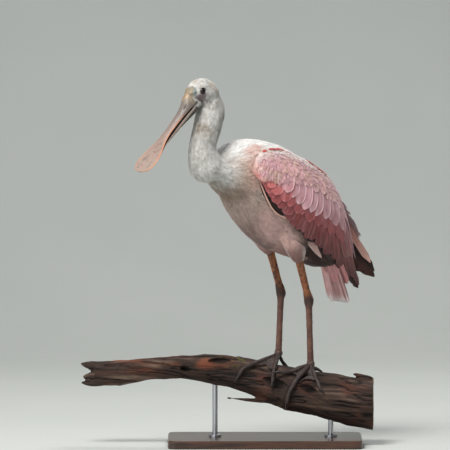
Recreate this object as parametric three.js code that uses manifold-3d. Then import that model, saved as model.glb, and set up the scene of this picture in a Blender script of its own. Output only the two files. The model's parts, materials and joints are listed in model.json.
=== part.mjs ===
// Roseate spoonbill, life size, standing on a length of driftwood over a plain display stand.
// Millimetres. X runs along the perch, Y away from the viewer, Z up.
// The origin is the middle of the underside of the stand's base.
// The bird is drawn in a frame of its own: x from beak to tail, y to its right side, z up.

import * as THREE from 'three';
import { mergeVertices } from 'three/addons/utils/BufferGeometryUtils.js';
import Module from 'manifold-3d';

const wasm = await Module();
wasm.setup();

// Driving dimensions
const GAP = 0.3;
const BIRD_TURN = THREE.MathUtils.degToRad(40);
const BIRD_PLACE = { x: 0, y: -42 };
const BASE = { length: 330, depth: 180, height: 14, corner: 14, bevel: 2 };
const ROD = { radius: 4.5, flange: 11, flangeHeight: 3, depthInPerch: 16, sides: 12, holeSides: 16 };
const ROD_PLACES = { left: -85, right: 112 };
const BILL_PITCH = THREE.MathUtils.degToRad(45.6);
const GAPE = { x: -159.5, z: 590 };
const MOUTH_OPENING = THREE.MathUtils.degToRad(1.4);
const BILL_BASE = 12;
const EYE = { x: -150, y: 13, z: 609, radius: 6 };
const TAIL_LENGTH = 113;
const TAIL_PITCH = THREE.MathUtils.degToRad(69);

// Plain colours of the parts
const COLOURS = {
  white: [0xe6e1dc, 0.9],
  breast: [0xd9c8c8, 0.9],
  pink: [0xdf9aa0, 0.85],
  coral: [0xd0737c, 0.85],
  bill: [0xb3a6a2, 0.5],
  eye: [0x120b0a, 0.08],
  leg: [0x8a5446, 0.65],
  toe: [0x3f3231, 0.6],
  claw: [0x16110f, 0.4],
  wood: [0x5a3c2e, 0.9],
  base: [0x2c2320, 0.5],
  steel: [0x8f9194, 0.35],
};

const vec = (x, y, z) => new THREE.Vector3(x, y, z);
const lerp = THREE.MathUtils.lerp;
const clamp = THREE.MathUtils.clamp;
const smooth = THREE.MathUtils.smoothstep;

// Seeded random numbers from 0 to 1
function randomFrom(seed) {
  let state = seed;
  return () => {
    state = (state * 1664525 + 1013904223) % 4294967296;
    return state / 4294967296;
  };
}

// Geometry from points and triangles, turned so that its faces point out
function shell(points, faces) {
  let volume = 0;
  for (const [a, b, c] of faces) {
    volume += points[a].dot(points[b].clone().cross(points[c]));
  }
  const turned = volume < 0 ? faces.map(([a, b, c]) => [a, c, b]) : faces;
  const geometry = new THREE.BufferGeometry().setFromPoints(points);
  geometry.setIndex(turned.flat());
  return geometry;
}

// Closed skin over rings of equal count, each end closed by a fan about its middle
function loft(rings) {
  const count = rings[0].length;
  const points = rings.flat();
  const faces = [];
  for (let r = 0; r < rings.length - 1; r += 1) {
    for (let i = 0; i < count; i += 1) {
      const a = r * count + i;
      const b = r * count + ((i + 1) % count);
      faces.push([a, b, b + count], [a, b + count, a + count]);
    }
  }
  for (const r of [0, rings.length - 1]) {
    const middle = points.length;
    points.push(rings[r].reduce((sum, p) => sum.add(p), vec(0, 0, 0)).divideScalar(count));
    for (let i = 0; i < count; i += 1) {
      const a = r * count + i;
      const b = r * count + ((i + 1) % count);
      faces.push(r === 0 ? [b, a, middle] : [a, b, middle]);
    }
  }
  return shell(points, faces);
}

// Smooth run of stations through a few named ones, field by field
function through(stations, count) {
  const fields = Object.keys(stations[0]);
  const last = stations.length - 1;
  return Array.from({ length: count }, (_, k) => {
    const place = (k / (count - 1)) * last;
    const i = Math.min(Math.floor(place), last - 1);
    const t = place - i;
    const station = {};
    for (const field of fields) {
      const at = (j) => stations[clamp(j, 0, last)][field];
      const before = i === 0 ? 2 * at(0) - at(1) : at(i - 1);
      const after = i + 2 > last ? 2 * at(last) - at(last - 1) : at(i + 2);
      const slopeIn = (at(i + 1) - before) / 2;
      const slopeOut = (after - at(i)) / 2;
      const a = 2 * t ** 3 - 3 * t ** 2 + 1;
      const b = t ** 3 - 2 * t ** 2 + t;
      const c = 3 * t ** 2 - 2 * t ** 3;
      const d = t ** 3 - t ** 2;
      station[field] = a * at(i) + b * slopeIn + c * at(i + 1) + d * slopeOut;
    }
    return station;
  });
}

// Rings across a line in the bird's middle plane: h is the half height, w the half width
function middleRings(stations, sides, grow = 0) {
  return stations.map((s, k) => {
    const before = stations[Math.max(k - 1, 0)];
    const after = stations[Math.min(k + 1, stations.length - 1)];
    const along = vec(after.x - before.x, 0, after.z - before.z).normalize();
    const up = vec(-along.z, 0, along.x);
    return Array.from({ length: sides }, (_, i) => {
      const angle = (2 * Math.PI * i) / sides;
      return vec(s.x, 0, s.z)
        .addScaledVector(up, Math.cos(angle) * (s.h + grow))
        .add(vec(0, Math.sin(angle) * (s.w + grow), 0));
    });
  });
}

// Tube through points with a radius at each, its section wide across and tall along up
function tube(points, radii, sides, wide = 1, rings = points.length, up = vec(0, 0, 1)) {
  const stations = points.map((p, i) => ({ x: p.x, y: p.y, z: p.z, r: radii[i] }));
  const run = through(stations, rings);
  return loft(run.map((s, k) => {
    const before = run[Math.max(k - 1, 0)];
    const after = run[Math.min(k + 1, rings - 1)];
    const along = vec(after.x - before.x, after.y - before.y, after.z - before.z).normalize();
    const across = along.clone().cross(up).normalize();
    const tall = across.clone().cross(along);
    return Array.from({ length: sides }, (_, i) => {
      const angle = (2 * Math.PI * (i + 0.5)) / sides;
      return vec(s.x, s.y, s.z)
        .addScaledVector(across, Math.cos(angle) * s.r * wide)
        .addScaledVector(tall, Math.sin(angle) * s.r);
    });
  }));
}

// Boolean solids
function solid(geometry) {
  const plain = geometry.clone();
  plain.deleteAttribute('normal');
  plain.deleteAttribute('uv');
  const merged = mergeVertices(plain, 1e-4);
  return new wasm.Manifold(new wasm.Mesh({
    numProp: 3,
    vertProperties: new Float32Array(merged.attributes.position.array),
    triVerts: new Uint32Array(merged.index.array),
  }));
}

const joined = (solids) => solids.reduce((all, one) => all.add(one));

// Largest closed surface of a solid
function largest(body) {
  const pieces = body.decompose();
  return pieces.reduce((best, one) => (one.volume() > best.volume() ? one : best));
}

function geometryOf(body) {
  const mesh = largest(body).getMesh();
  const geometry = new THREE.BufferGeometry();
  geometry.setAttribute('position', new THREE.BufferAttribute(new Float32Array(mesh.vertProperties), 3));
  geometry.setIndex(Array.from(mesh.triVerts));
  return geometry;
}

function box(x0, x1, y0, y1, z0, z1) {
  const geometry = new THREE.BoxGeometry(x1 - x0, y1 - y0, z1 - z0);
  return geometry.translate((x0 + x1) / 2, (y0 + y1) / 2, (z0 + z1) / 2);
}

function ball(x, y, z, rx, ry = rx, rz = rx, detail = 12) {
  const geometry = new THREE.SphereGeometry(1, detail, Math.round(detail * 0.6));
  return geometry.rotateX(Math.PI / 2).scale(rx, ry, rz).translate(x, y, z);
}

// Box from a plane onward, for cutting across the bird: the plane holds (x, z) and its
// inward direction is turned by the angle from x towards z
function beyond(x, z, angle) {
  const reach = 400;
  const geometry = new THREE.BoxGeometry(reach, reach, reach).translate(reach / 2, 0, 0);
  return geometry.rotateY(-angle).translate(x, 0, z);
}

// Scene graph
const model = new THREE.Group();
const bird = new THREE.Group();
bird.rotation.z = BIRD_TURN;
bird.position.set(BIRD_PLACE.x, BIRD_PLACE.y, 0);
model.add(bird);

function addNode(parent, name, body, colour) {
  const geometry = body.isBufferGeometry ? body : geometryOf(body);
  geometry.computeVertexNormals();
  const [shade, roughness] = COLOURS[colour];
  const metalness = colour === 'steel' ? 1 : 0;
  const material = new THREE.MeshStandardMaterial({ color: shade, roughness, metalness });
  const mesh = new THREE.Mesh(geometry, material);
  mesh.name = name;
  parent.add(mesh);
}

// Torso, from the breast to the root of the tail
const TORSO = [
  { x: -146, z: 474, h: 6, w: 8 },
  { x: -137, z: 473, h: 16, w: 20 },
  { x: -116, z: 472, h: 20, w: 36 },
  { x: -88, z: 472, h: 41, w: 51 },
  { x: -51, z: 467, h: 61, w: 60 },
  { x: -12, z: 445.5, h: 77, w: 64 },
  { x: 28, z: 416.5, h: 82, w: 63 },
  { x: 64, z: 390, h: 75, w: 58 },
  { x: 97, z: 363, h: 60, w: 48 },
  { x: 124, z: 338, h: 43, w: 37 },
  { x: 143, z: 321, h: 25, w: 25 },
  { x: 153, z: 311, h: 9, w: 11 },
];
const TORSO_SIDES = 20;
const TORSO_RINGS = 18;
const torsoShape = (grow) => solid(loft(middleRings(through(TORSO, TORSO_RINGS), TORSO_SIDES, grow)));

// Neck, from inside the head down into the breast
const NECK = [
  { x: -122, z: 609, h: 8, w: 8 },
  { x: -121.5, z: 603, h: 14.5, w: 14.5 },
  { x: -120.5, z: 592, h: 20.5, w: 19 },
  { x: -121, z: 575, h: 24.5, w: 22.5 },
  { x: -124.2, z: 559, h: 24.5, w: 24 },
  { x: -129.2, z: 542, h: 24, w: 23.5 },
  { x: -135.2, z: 526, h: 23, w: 23 },
  { x: -138, z: 512, h: 23, w: 23.5 },
  { x: -136, z: 497, h: 25.5, w: 26.5 },
  { x: -129, z: 481, h: 28, w: 30 },
  { x: -119, z: 467, h: 20, w: 24 },
];

// Head, from the root of the bill round to the nape
const HEAD = [
  { x: -166, z: 598.5, h: 10.5, w: 11 },
  { x: -159, z: 603.5, h: 16, w: 14 },
  { x: -150, z: 607.5, h: 20.5, w: 16.8 },
  { x: -139, z: 608, h: 22, w: 19 },
  { x: -128, z: 605, h: 20.5, w: 19 },
  { x: -119, z: 599, h: 16, w: 16 },
  { x: -114, z: 594, h: 8, w: 9 },
];

// Point of the bill: along from the gape, up from the mouth line
function billPoint(along, side, up, pitch = BILL_PITCH) {
  return vec(
    GAPE.x - along * Math.cos(pitch) - up * Math.sin(pitch),
    side,
    GAPE.z - along * Math.sin(pitch) + up * Math.cos(pitch),
  );
}

// Half width, and rise above or below the mouth line, at places along the bill
const BILL = [
  { along: -6, w: 11.5, rise: 17, drop: 15, bend: 0 },
  { along: 6, w: 12.5, rise: 18.5, drop: 14, bend: 0 },
  { along: 28, w: 11.5, rise: 13, drop: 9.5, bend: 0 },
  { along: 54, w: 10, rise: 8.5, drop: 5.5, bend: 0 },
  { along: 78, w: 10, rise: 5.5, drop: 4, bend: 0.2 },
  { along: 97, w: 13.5, rise: 4, drop: 3, bend: 0.8 },
  { along: 115, w: 20, rise: 3.2, drop: 2.5, bend: 1.8 },
  { along: 130, w: 25, rise: 2.8, drop: 2.3, bend: 2.8 },
  { along: 144, w: 25, rise: 2.5, drop: 2, bend: 3.4 },
  { along: 153, w: 17.5, rise: 2, drop: 1.6, bend: 3.6 },
  { along: 157, w: 7, rise: 1.2, drop: 1, bend: 3.6 },
];
const BILL_SIDES = 12;
const BILL_RINGS = 17;

// Rings of one half of the bill: its flat side lies along the mouth line
function billRings(lower) {
  const pitch = lower ? BILL_PITCH + MOUTH_OPENING : BILL_PITCH;
  const turn = lower ? -1 : 1;
  const half = BILL_SIDES / 2;
  return through(BILL, BILL_RINGS).map((s) => (
    Array.from({ length: BILL_SIDES }, (_, i) => {
      const angle = (Math.PI * (i % half)) / half;
      const outer = i < half;
      const wide = (outer ? 1 : -1) * Math.cos(angle) * s.w * (lower ? 0.93 : 1);
      const rise = outer ? Math.sin(angle) * (lower ? s.drop : s.rise) : 0;
      const lip = 0.6 * (outer ? 1 : 1 - Math.sin(angle));
      return billPoint(s.along, wide, s.bend + turn * (0.15 + lip + rise), pitch);
    })
  ));
}

const headWhole = joined([
  solid(loft(middleRings(through(HEAD, 11), 16))),
  solid(loft(middleRings(through(NECK, 15), 16))),
]);
const torso = torsoShape(0);
const torsoGrown = torsoShape(GAP);

// Where the head and neck are parted: a point on each cut and the direction across it
const CUTS = {
  head: { x: -124, z: 579, angle: THREE.MathUtils.degToRad(-82) },
  neck: { x: -130, z: 538, angle: THREE.MathUtils.degToRad(-100) },
};

const belowHead = solid(beyond(CUTS.head.x, CUTS.head.z, CUTS.head.angle));
const belowHeadGap = solid(beyond(CUTS.head.x, CUTS.head.z + GAP, CUTS.head.angle));
const belowNeck = solid(beyond(CUTS.neck.x, CUTS.neck.z, CUTS.neck.angle));
const belowNeckGap = solid(beyond(CUTS.neck.x, CUTS.neck.z + GAP, CUTS.neck.angle));

const billUpperWhole = solid(loft(billRings(false)));
const billLowerWhole = solid(loft(billRings(true)));

// Everything ahead of the root of the horny bill
function aheadOfFace(offset) {
  const reach = 400;
  const geometry = new THREE.BoxGeometry(reach, reach, reach).translate(-reach / 2, 0, 0);
  geometry.rotateY(-BILL_PITCH);
  const place = billPoint(BILL_BASE + offset, 0, 0);
  return solid(geometry.translate(place.x, 0, place.z));
}

// Slit of each nostril, near the root of the upper half
const NOSTRIL = { along: 21, side: 8.4, rise: 10.6, length: 3.8, width: 1.3, depth: 1.6 };
const nostrils = joined([-1, 1].map((side) => {
  const slit = ball(0, 0, 0, NOSTRIL.length, NOSTRIL.depth, NOSTRIL.width, 8).rotateY(-BILL_PITCH);
  const place = billPoint(NOSTRIL.along, side * NOSTRIL.side, NOSTRIL.rise);
  return solid(slit.translate(place.x, place.y, place.z));
}));

const billAhead = aheadOfFace(GAP);
const billUpper = billUpperWhole.intersect(billAhead).subtract(nostrils);
const billLower = billLowerWhole.intersect(billAhead);
const faceRoots = joined([billUpperWhole, billLowerWhole]).subtract(aheadOfFace(0));

const eyeBall = (side, grow) => {
  const radius = EYE.radius + grow;
  return solid(ball(EYE.x, side * EYE.y, EYE.z, radius, radius, radius, 10));
};

// Lids: a ring round each eye, turned with the side of the head
const LID = { y: 16.7, ring: 6, thick: 1.15, turn: THREE.MathUtils.degToRad(14) };
const lids = joined([-1, 1].map((side) => {
  const ring = new THREE.TorusGeometry(LID.ring, LID.thick, 5, 14).rotateX(Math.PI / 2);
  return solid(ring.rotateZ(-side * LID.turn).translate(EYE.x, side * LID.y, EYE.z));
}));
const eyeSockets = joined([-1, 1].map((side) => eyeBall(side, GAP)));
const headSolid = joined([headWhole.subtract(belowHeadGap), faceRoots, lids])
  .subtract(aheadOfFace(0))
  .subtract(eyeSockets);

addNode(bird, 'head', headSolid, 'white');
addNode(bird, 'neck_upper', headWhole.intersect(belowHead).subtract(belowNeckGap), 'white');
addNode(bird, 'neck_lower', headWhole.intersect(belowNeck).subtract(torsoGrown), 'white');
addNode(bird, 'torso', torso, 'breast');
addNode(bird, 'bill_upper', billUpper, 'bill');
addNode(bird, 'bill_lower', billLower, 'bill');
for (const [name, side] of [['left', -1], ['right', 1]]) {
  addNode(bird, `eye_${name}`, eyeBall(side, 0), 'eye');
}

// Tail, hanging from the root at the end of the back
const TAIL_ROOT = { x: 136, z: 341 };
const tailDirection = vec(Math.cos(TAIL_PITCH), 0, -Math.sin(TAIL_PITCH));
const tailBack = vec(Math.sin(TAIL_PITCH), 0, Math.cos(TAIL_PITCH));
const TAIL_SHAPE = [
  [0, 16, 8], [20, 22, 7], [45, 26, 5], [75, 29, 3.5], [98, 30.5, 2.5], [TAIL_LENGTH, 27, 1.6],
];

function tailPoint(along, side, back) {
  return vec(TAIL_ROOT.x, side, TAIL_ROOT.z)
    .addScaledVector(tailDirection, along)
    .addScaledVector(tailBack, back);
}

// Flat oval body along the tail, its end longer by the growth
function tailLoft(shape, grow) {
  return solid(loft(shape.map(([along, wide, thick], k) => (
    Array.from({ length: 12 }, (_, i) => {
      const angle = (2 * Math.PI * i) / 12;
      const reach = along + (k === shape.length - 1 ? grow : 0);
      return tailPoint(reach, Math.cos(angle) * (wide + grow), Math.sin(angle) * (thick + grow));
    })
  ))));
}

// How a vane widens from its root and rounds off at its tip
const TIP_ROUND = 0.045;
const vaneWidth = (s) => Math.min(0.72 + 0.9 * s, 1, 0.55 + 3.2 * (1 - s));

// Feather vane with a rounded tip: place(s, t, height) with s from root to tip and t from -1 to 1.
// Both faces are split into triangles alike.
function vane(place, steps, thickness) {
  const points = [];
  const faces = [];
  for (const level of [-0.5, 0.5]) {
    for (let i = 0; i <= steps; i += 1) {
      for (const t of [-1, 0, 1]) {
        const s = i === steps && t !== 0 ? 1 - TIP_ROUND : i / steps;
        points.push(place(s, t * vaneWidth(i / steps), level * thickness * (i === steps ? 0.6 : 1)));
      }
    }
  }
  const layer = (steps + 1) * 3;
  const quad = (a, b, c, d) => faces.push([a, b, c], [a, c, d]);
  for (let i = 0; i < steps; i += 1) {
    for (const j of [0, 1]) {
      const a = i * 3 + j;
      faces.push([a, a + 4, a + 1], [a, a + 3, a + 4]);
      faces.push([a + layer, a + layer + 1, a + layer + 4], [a + layer, a + layer + 4, a + layer + 3]);
    }
    const low = i * 3;
    const high = low + 2;
    quad(low, low + layer, low + layer + 3, low + 3);
    quad(high + 3, high + layer + 3, high + layer, high);
  }
  for (const j of [0, 1]) {
    quad(j + 1, j + 1 + layer, j + layer, j);
    const end = steps * 3 + j;
    quad(end, end + layer, end + layer + 1, end + 1);
  }
  return solid(shell(points, faces));
}

// Tail feathers: a fan in which each lies over the next one out, the middle one on top
const TAIL_VANES = {
  pairs: 3,
  root: 16,
  blockEnd: 62,
  pitchRoot: 5.2,
  pitchTip: 7.6,
  step: 1.2,
  thickness: 0.9,
  clear: 2.2,
};

function tailFeather(order, draw) {
  const { root, pitchRoot, pitchTip, step, thickness } = TAIL_VANES;
  const length = TAIL_LENGTH - 1.6 * Math.abs(order) - 2.5 * draw;
  const place = (s, t, height) => {
    const along = lerp(root, length, s);
    const pitch = lerp(pitchRoot, pitchTip, along / TAIL_LENGTH);
    const rise = order === 0 ? step * (1 - 0.35 * t * t) : step * t * Math.sign(order) * 0.95;
    return tailPoint(along, pitch * (order + 0.95 * t), height + rise);
  };
  return vane(place, 3, thickness);
}

const tailDraw = randomFrom(11);
const TAIL_BLOCK = [...TAIL_SHAPE.slice(0, 3), [TAIL_VANES.blockEnd, 20, 0.8]];
const tailRoot = tailLoft(TAIL_BLOCK, 0);
const tailFeathers = Array.from({ length: 2 * TAIL_VANES.pairs + 1 }, (_, k) => (
  tailFeather(k - TAIL_VANES.pairs, tailDraw())
));
addNode(bird, 'tail', joined([tailRoot, ...tailFeathers]).subtract(torsoGrown), 'pink');
const tailClear = tailLoft(TAIL_SHAPE, TAIL_VANES.clear);

// Wings. Each is a patch from the bend (u 0) to the tip (u 1), lower edge v 0, upper edge v 1.
// The edges are given for the left wing, with y to the left counted as out.
const WING_EDGES = {
  left: {
    lower: [[-72, 60, 470], [-60, 67, 448], [-30, 70, 409], [8, 70, 379], [40, 66, 358], [76, 57, 338],
      [114, 43, 318], [150, 27, 297], [182, 15, 278], [205, 8, 263]],
    upper: [[-68, 55, 488], [-48, 51, 505], [-14, 46, 508], [26, 41, 497], [68, 35, 480], [106, 28, 459],
      [138, 20, 427], [160, 13, 385], [182, 9, 333], [209, 6, 273]],
  },
  right: {
    lower: [[-72, 60, 470], [-60, 67, 448], [-30, 70, 409], [8, 70, 379], [40, 66, 358], [76, 58, 341],
      [114, 46, 328], [150, 32, 318], [190, 16, 304], [233, 2, 285]],
    upper: [[-68, 55, 488], [-48, 51, 505], [-14, 46, 508], [26, 41, 497], [68, 32, 483], [104, 16, 469],
      [138, 0, 446], [168, -10, 400], [203, -13, 346], [243, -12, 292]],
  },
};
const WING_BULGE = [0.03, 0.15, 0.23, 0.25, 0.24, 0.21, 0.18, 0.16, 0.12, 0.05];

function edgeAt(points, u) {
  const stations = points.map(([x, y, z]) => ({ x, y, z }));
  const place = clamp(u, 0, 1) * 60;
  const run = through(stations, 61);
  const i = Math.min(Math.floor(place), 59);
  const t = place - i;
  return vec(
    lerp(run[i].x, run[i + 1].x, t),
    lerp(run[i].y, run[i + 1].y, t),
    lerp(run[i].z, run[i + 1].z, t),
  );
}

// Wing patch with its outward direction, in the bird's frame; side is -1 on the left
function wingPatch(name) {
  const side = name === 'left' ? -1 : 1;
  const runs = {};
  for (const edge of ['lower', 'upper']) {
    runs[edge] = Array.from({ length: 61 }, (_, k) => edgeAt(WING_EDGES[name][edge], k / 60));
  }
  const onEdge = (edge, u) => {
    const place = clamp(u, 0, 1) * 60;
    const i = Math.min(Math.floor(place), 59);
    return runs[edge][i].clone().lerp(runs[edge][i + 1], place - i);
  };
  const bulgeAt = (u) => {
    const place = clamp(u, 0, 1) * (WING_BULGE.length - 1);
    const i = Math.min(Math.floor(place), WING_BULGE.length - 2);
    return lerp(WING_BULGE[i], WING_BULGE[i + 1], place - i);
  };
  const flat = (u, v) => {
    const low = onEdge('lower', u);
    const high = onEdge('upper', u);
    const chord = high.clone().sub(low);
    const ahead = onEdge('lower', u + 0.02).add(onEdge('upper', u + 0.02));
    const back = onEdge('lower', u - 0.02).add(onEdge('upper', u - 0.02));
    const out = ahead.sub(back).cross(chord).normalize();
    if (out.y < 0) out.negate();
    const arch = 4 * v * (1 - v) * bulgeAt(u) * chord.length();
    return low.addScaledVector(chord, v).addScaledVector(out, arch);
  };
  const at = (u, v, height = 0) => {
    const step = 0.01;
    const along = flat(Math.min(u + step, 1), v).sub(flat(Math.max(u - step, 0), v));
    const across = flat(u, v + step).sub(flat(u, v - step));
    const out = along.cross(across).normalize();
    if (out.y < 0) out.negate();
    const point = flat(u, v).addScaledVector(out, height);
    point.y *= side;
    return point;
  };
  return at;
}

// Slab on a wing patch between two places along it, over a range of heights.
// Its lower rim lies at lowRim(u) and its upper rim at highRim.
function wingSlab(at, [u0, u1], steps, [lowRim, highRim], across, [heightLow, heightHigh]) {
  const points = [];
  const faces = [];
  const columns = across + 1;
  for (const level of [heightLow, heightHigh]) {
    for (let i = 0; i <= steps; i += 1) {
      const u = lerp(u0, u1, i / steps);
      for (let j = 0; j <= across; j += 1) {
        const v = lerp(lowRim(u), highRim, j / across);
        points.push(at(u, v, level(u, v)));
      }
    }
  }
  const layer = (steps + 1) * columns;
  const index = (i, j, top) => top * layer + i * columns + j;
  for (let i = 0; i < steps; i += 1) {
    for (let j = 0; j < across; j += 1) {
      const a = index(i, j, 0);
      const b = index(i, j + 1, 0);
      const c = index(i + 1, j + 1, 0);
      const d = index(i + 1, j, 0);
      faces.push([a, c, b], [a, d, c]);
      faces.push([a + layer, b + layer, c + layer], [a + layer, c + layer, d + layer]);
    }
  }
  const rim = (a, b) => faces.push([a, b, b + layer], [a, b + layer, a + layer]);
  for (let i = 0; i < steps; i += 1) {
    rim(index(i + 1, 0, 0), index(i, 0, 0));
    rim(index(i, across, 0), index(i + 1, across, 0));
  }
  for (let j = 0; j < across; j += 1) {
    rim(index(0, j, 0), index(0, j + 1, 0));
    rim(index(steps, j + 1, 0), index(steps, j, 0));
  }
  return solid(shell(points, faces));
}

// Rows of feathers on a wing. They hang from the back and turn along the wing towards its tip.
// Roots and tips follow lines given as [place in the row, u, v]; rise is the height at root and
// tip over the wing patch.
const WING_ROWS = {
  median: {
    count: 7, rise: [1.5, 5.2], steps: 2,
    roots: [[0, 0.13, 0.8], [1, 0.6, 0.82]],
    tips: [[0, 0.1, 0.48], [1, 0.64, 0.52]],
  },
  greater: {
    count: 8, rise: [1.5, 4.6], steps: 3,
    roots: [[0, 0.1, 0.56], [1, 0.57, 0.56]],
    tips: [[0, 0.075, 0.12], [1, 0.69, 0.3]],
  },
  secondary: {
    count: 10, rise: [-2.6, -1.8], steps: 4,
    roots: [[0, 0.2, 0.42], [0.66, 0.58, 0.42], [0.76, 0.64, 0.5], [1, 0.64, 0.9]],
    tips: [[0, 0.13, -0.02], [0.66, 0.74, 0], [0.84, 0.91, 0.16], [1, 0.87, 0.84]],
  },
  primary: {
    count: 5, rise: [-7.6, -6.3], steps: 5,
    roots: [[0, 0.508, 0.1], [1, 0.508, 0.8]],
    tips: [[0, 0.99, 0.12], [0.4, 1.01, 0.4], [1, 0.985, 0.82]],
  },
};
// Each feather is tilted by a step a pitch, so that it lies over the next one in its row
const VANE = { thickness: 0.85, step: 1.2, overlap: 0.7, half: [7, 17.5], leastPitch: 6, shortest: 0.975 };

// How strongly feathers bend towards the wing's tip on their way
const BEND = 1.35;

// Small steps for measuring a wing patch, in u and v, and a feather, in parts of its length
const PATCH_STEP = 0.01;
const FEATHER_STEP = 0.05;

// Place on a line of [place, u, v] entries
function onLine(line, place) {
  const after = Math.max(1, line.findIndex((entry) => entry[0] >= place));
  const [from, to] = [line[after - 1], line[after]];
  const t = (place - from[0]) / (to[0] - from[0]);
  return [lerp(from[1], to[1], t), lerp(from[2], to[2], t)];
}

function featherRow(at, kind, draw) {
  const { count, roots, tips, rise, steps } = WING_ROWS[kind];
  const middle = (k, s) => {
    const [rootU, rootV] = onLine(roots, k / (count - 1));
    const [tipU, tipV] = onLine(tips, k / (count - 1));
    return [lerp(rootU, tipU, s ** BEND), lerp(rootV, tipV, s)];
  };
  return Array.from({ length: count }, (_, k) => {
    const longest = lerp(1, VANE.shortest, draw());
    const other = k === count - 1 ? k - 1 : k + 1;
    // the feather's middle, its half width there and one millimetre across it, as steps of u and v
    const section = (s) => {
      const t = s * longest;
      const [u, v] = middle(k, t);
      const here = clamp(u, 0, 1 - PATCH_STEP);
      const perU = at(here + PATCH_STEP, v).distanceTo(at(here, v)) / PATCH_STEP;
      const perV = at(here, v + PATCH_STEP).distanceTo(at(here, v)) / PATCH_STEP;
      const [u0, v0] = middle(k, Math.max(t - FEATHER_STEP, 0));
      const [u1, v1] = middle(k, t + FEATHER_STEP);
      const [du, dv] = [(u1 - u0) * perU, (v1 - v0) * perV];
      const length = Math.hypot(du, dv);
      const [nextU, nextV] = middle(other, t);
      const pitch = Math.abs((nextU - u) * perU * dv - (nextV - v) * perV * du) / length;
      const half = clamp(VANE.overlap * pitch, ...VANE.half);
      return { u, v, half, pitch, across: [-dv / length / perU, du / length / perV] };
    };
    return vane((s, t, height) => {
      const { u, v, half, pitch, across } = section(s);
      const lift = lerp(rise[0], rise[1], s) - (VANE.step * half * t) / Math.max(pitch, VANE.leastPitch);
      return at(u + across[0] * half * t, v + across[1] * half * t, lift + height);
    }, steps, VANE.thickness);
  });
}

// Core of a wing under its coverts, in two lengths that run into each other. Its lower rim rises
// to leave room for the secondaries, and its outer length is thinner to leave room for the primaries.
const CORE = {
  end: 0.62, low: -6, outer: 0.5, outerLow: -3.7, shared: 0.03, high: 1.2, swell: 1.2, rim: 0.5, last: 0.6,
};
const coreRim = (u) => CORE.rim * smooth(u, 0.03, 0.16);

function coreTop(u, v) {
  const across = Math.sin(Math.PI * clamp((v - 0.5 * coreRim(u)) / (1 - 0.5 * coreRim(u)), 0.08, 0.92));
  const full = CORE.high + CORE.swell * Math.min(1, 0.25 + 6 * u) * across;
  return lerp(full, CORE.last, smooth(u, 0.35, CORE.end));
}

function wingCore(at) {
  const { end, low, outer, outerLow, shared } = CORE;
  return joined([
    wingSlab(at, [0, outer], 6, [coreRim, 1], 3, [() => low, coreTop]),
    wingSlab(at, [outer - shared, end], 2, [coreRim, 1], 3, [() => outerLow, coreTop]),
  ]);
}

// Strips that the roots of the long feathers share: u, v and heights
const ROOT_STRIPS = {
  secondary: { u: [0.175, 0.66], v: [0.37, 0.485], heights: [-4, -1.2], steps: 5, across: 1 },
  innermost: { u: [0.626, 0.66], v: [0.37, 1], heights: [-4, -1.2], steps: 1, across: 4 },
  primary: { u: [0.503, 0.56], v: [0, 0.9], heights: [-9.2, -5.7], steps: 1, across: 4 },
};

function rootStrip(at, kind) {
  const { u, v, heights, steps, across } = ROOT_STRIPS[kind];
  return wingSlab(at, u, steps, [() => v[0], v[1]], across, heights.map((h) => () => h));
}

for (const [name, seed] of [['left', 3], ['right', 8]]) {
  const at = wingPatch(name);
  const draw = randomFrom(seed);
  const rows = ['median', 'greater'].flatMap((kind) => featherRow(at, kind, draw));
  const coverts = joined([wingCore(at), ...rows]);
  const secondaries = joined([
    rootStrip(at, 'secondary'), rootStrip(at, 'innermost'), ...featherRow(at, 'secondary', draw),
  ]);
  const primaries = joined([rootStrip(at, 'primary'), ...featherRow(at, 'primary', draw)]);
  addNode(bird, `wing_${name}_coverts`, coverts.subtract(torsoGrown), 'pink');
  addNode(bird, `wing_${name}_secondaries`, secondaries.subtract(joined([torsoGrown, tailClear])), 'coral');
  addNode(bird, `wing_${name}_primaries`, primaries.subtract(joined([torsoGrown, tailClear])), 'coral');
}

// Perch: along x, its top and bottom heights, its half depth and the y of its middle
const PERCH = [
  { x: -290, top: 142, bottom: 103, deep: 15, y: 2 },
  { x: -246, top: 145.5, bottom: 101, deep: 19, y: 1 },
  { x: -196, top: 148.5, bottom: 111, deep: 20, y: 0 },
  { x: -144, top: 153.5, bottom: 113, deep: 22, y: -1 },
  { x: -102, top: 155.5, bottom: 107, deep: 26, y: 0 },
  { x: -63, top: 153, bottom: 98, deep: 29, y: 1 },
  { x: -25, top: 145, bottom: 84, deep: 32, y: 2 },
  { x: 34, top: 135, bottom: 58, deep: 35, y: 0 },
  { x: 80, top: 125.5, bottom: 50, deep: 37, y: -1 },
  { x: 119, top: 122, bottom: 39, deep: 39, y: 0 },
  { x: 145, top: 116, bottom: 31.5, deep: 40, y: 1 },
  { x: 185, top: 110, bottom: 24, deep: 42, y: 2 },
];
const PERCH_SIDES = 14;
const PERCH_RINGS = 18;
const perchFields = ['top', 'bottom', 'deep', 'y'];

// One cross-section of the perch, between two of the named ones
function perchAt(x) {
  const last = PERCH.length - 1;
  const after = clamp(PERCH.findIndex((s) => s.x >= x), 1, last);
  const [a, b] = x > PERCH[last].x ? [PERCH[last - 1], PERCH[last]] : [PERCH[after - 1], PERCH[after]];
  const t = (x - a.x) / (b.x - a.x);
  return Object.fromEntries(perchFields.map((f) => [f, lerp(a[f], b[f], t)]));
}

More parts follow.
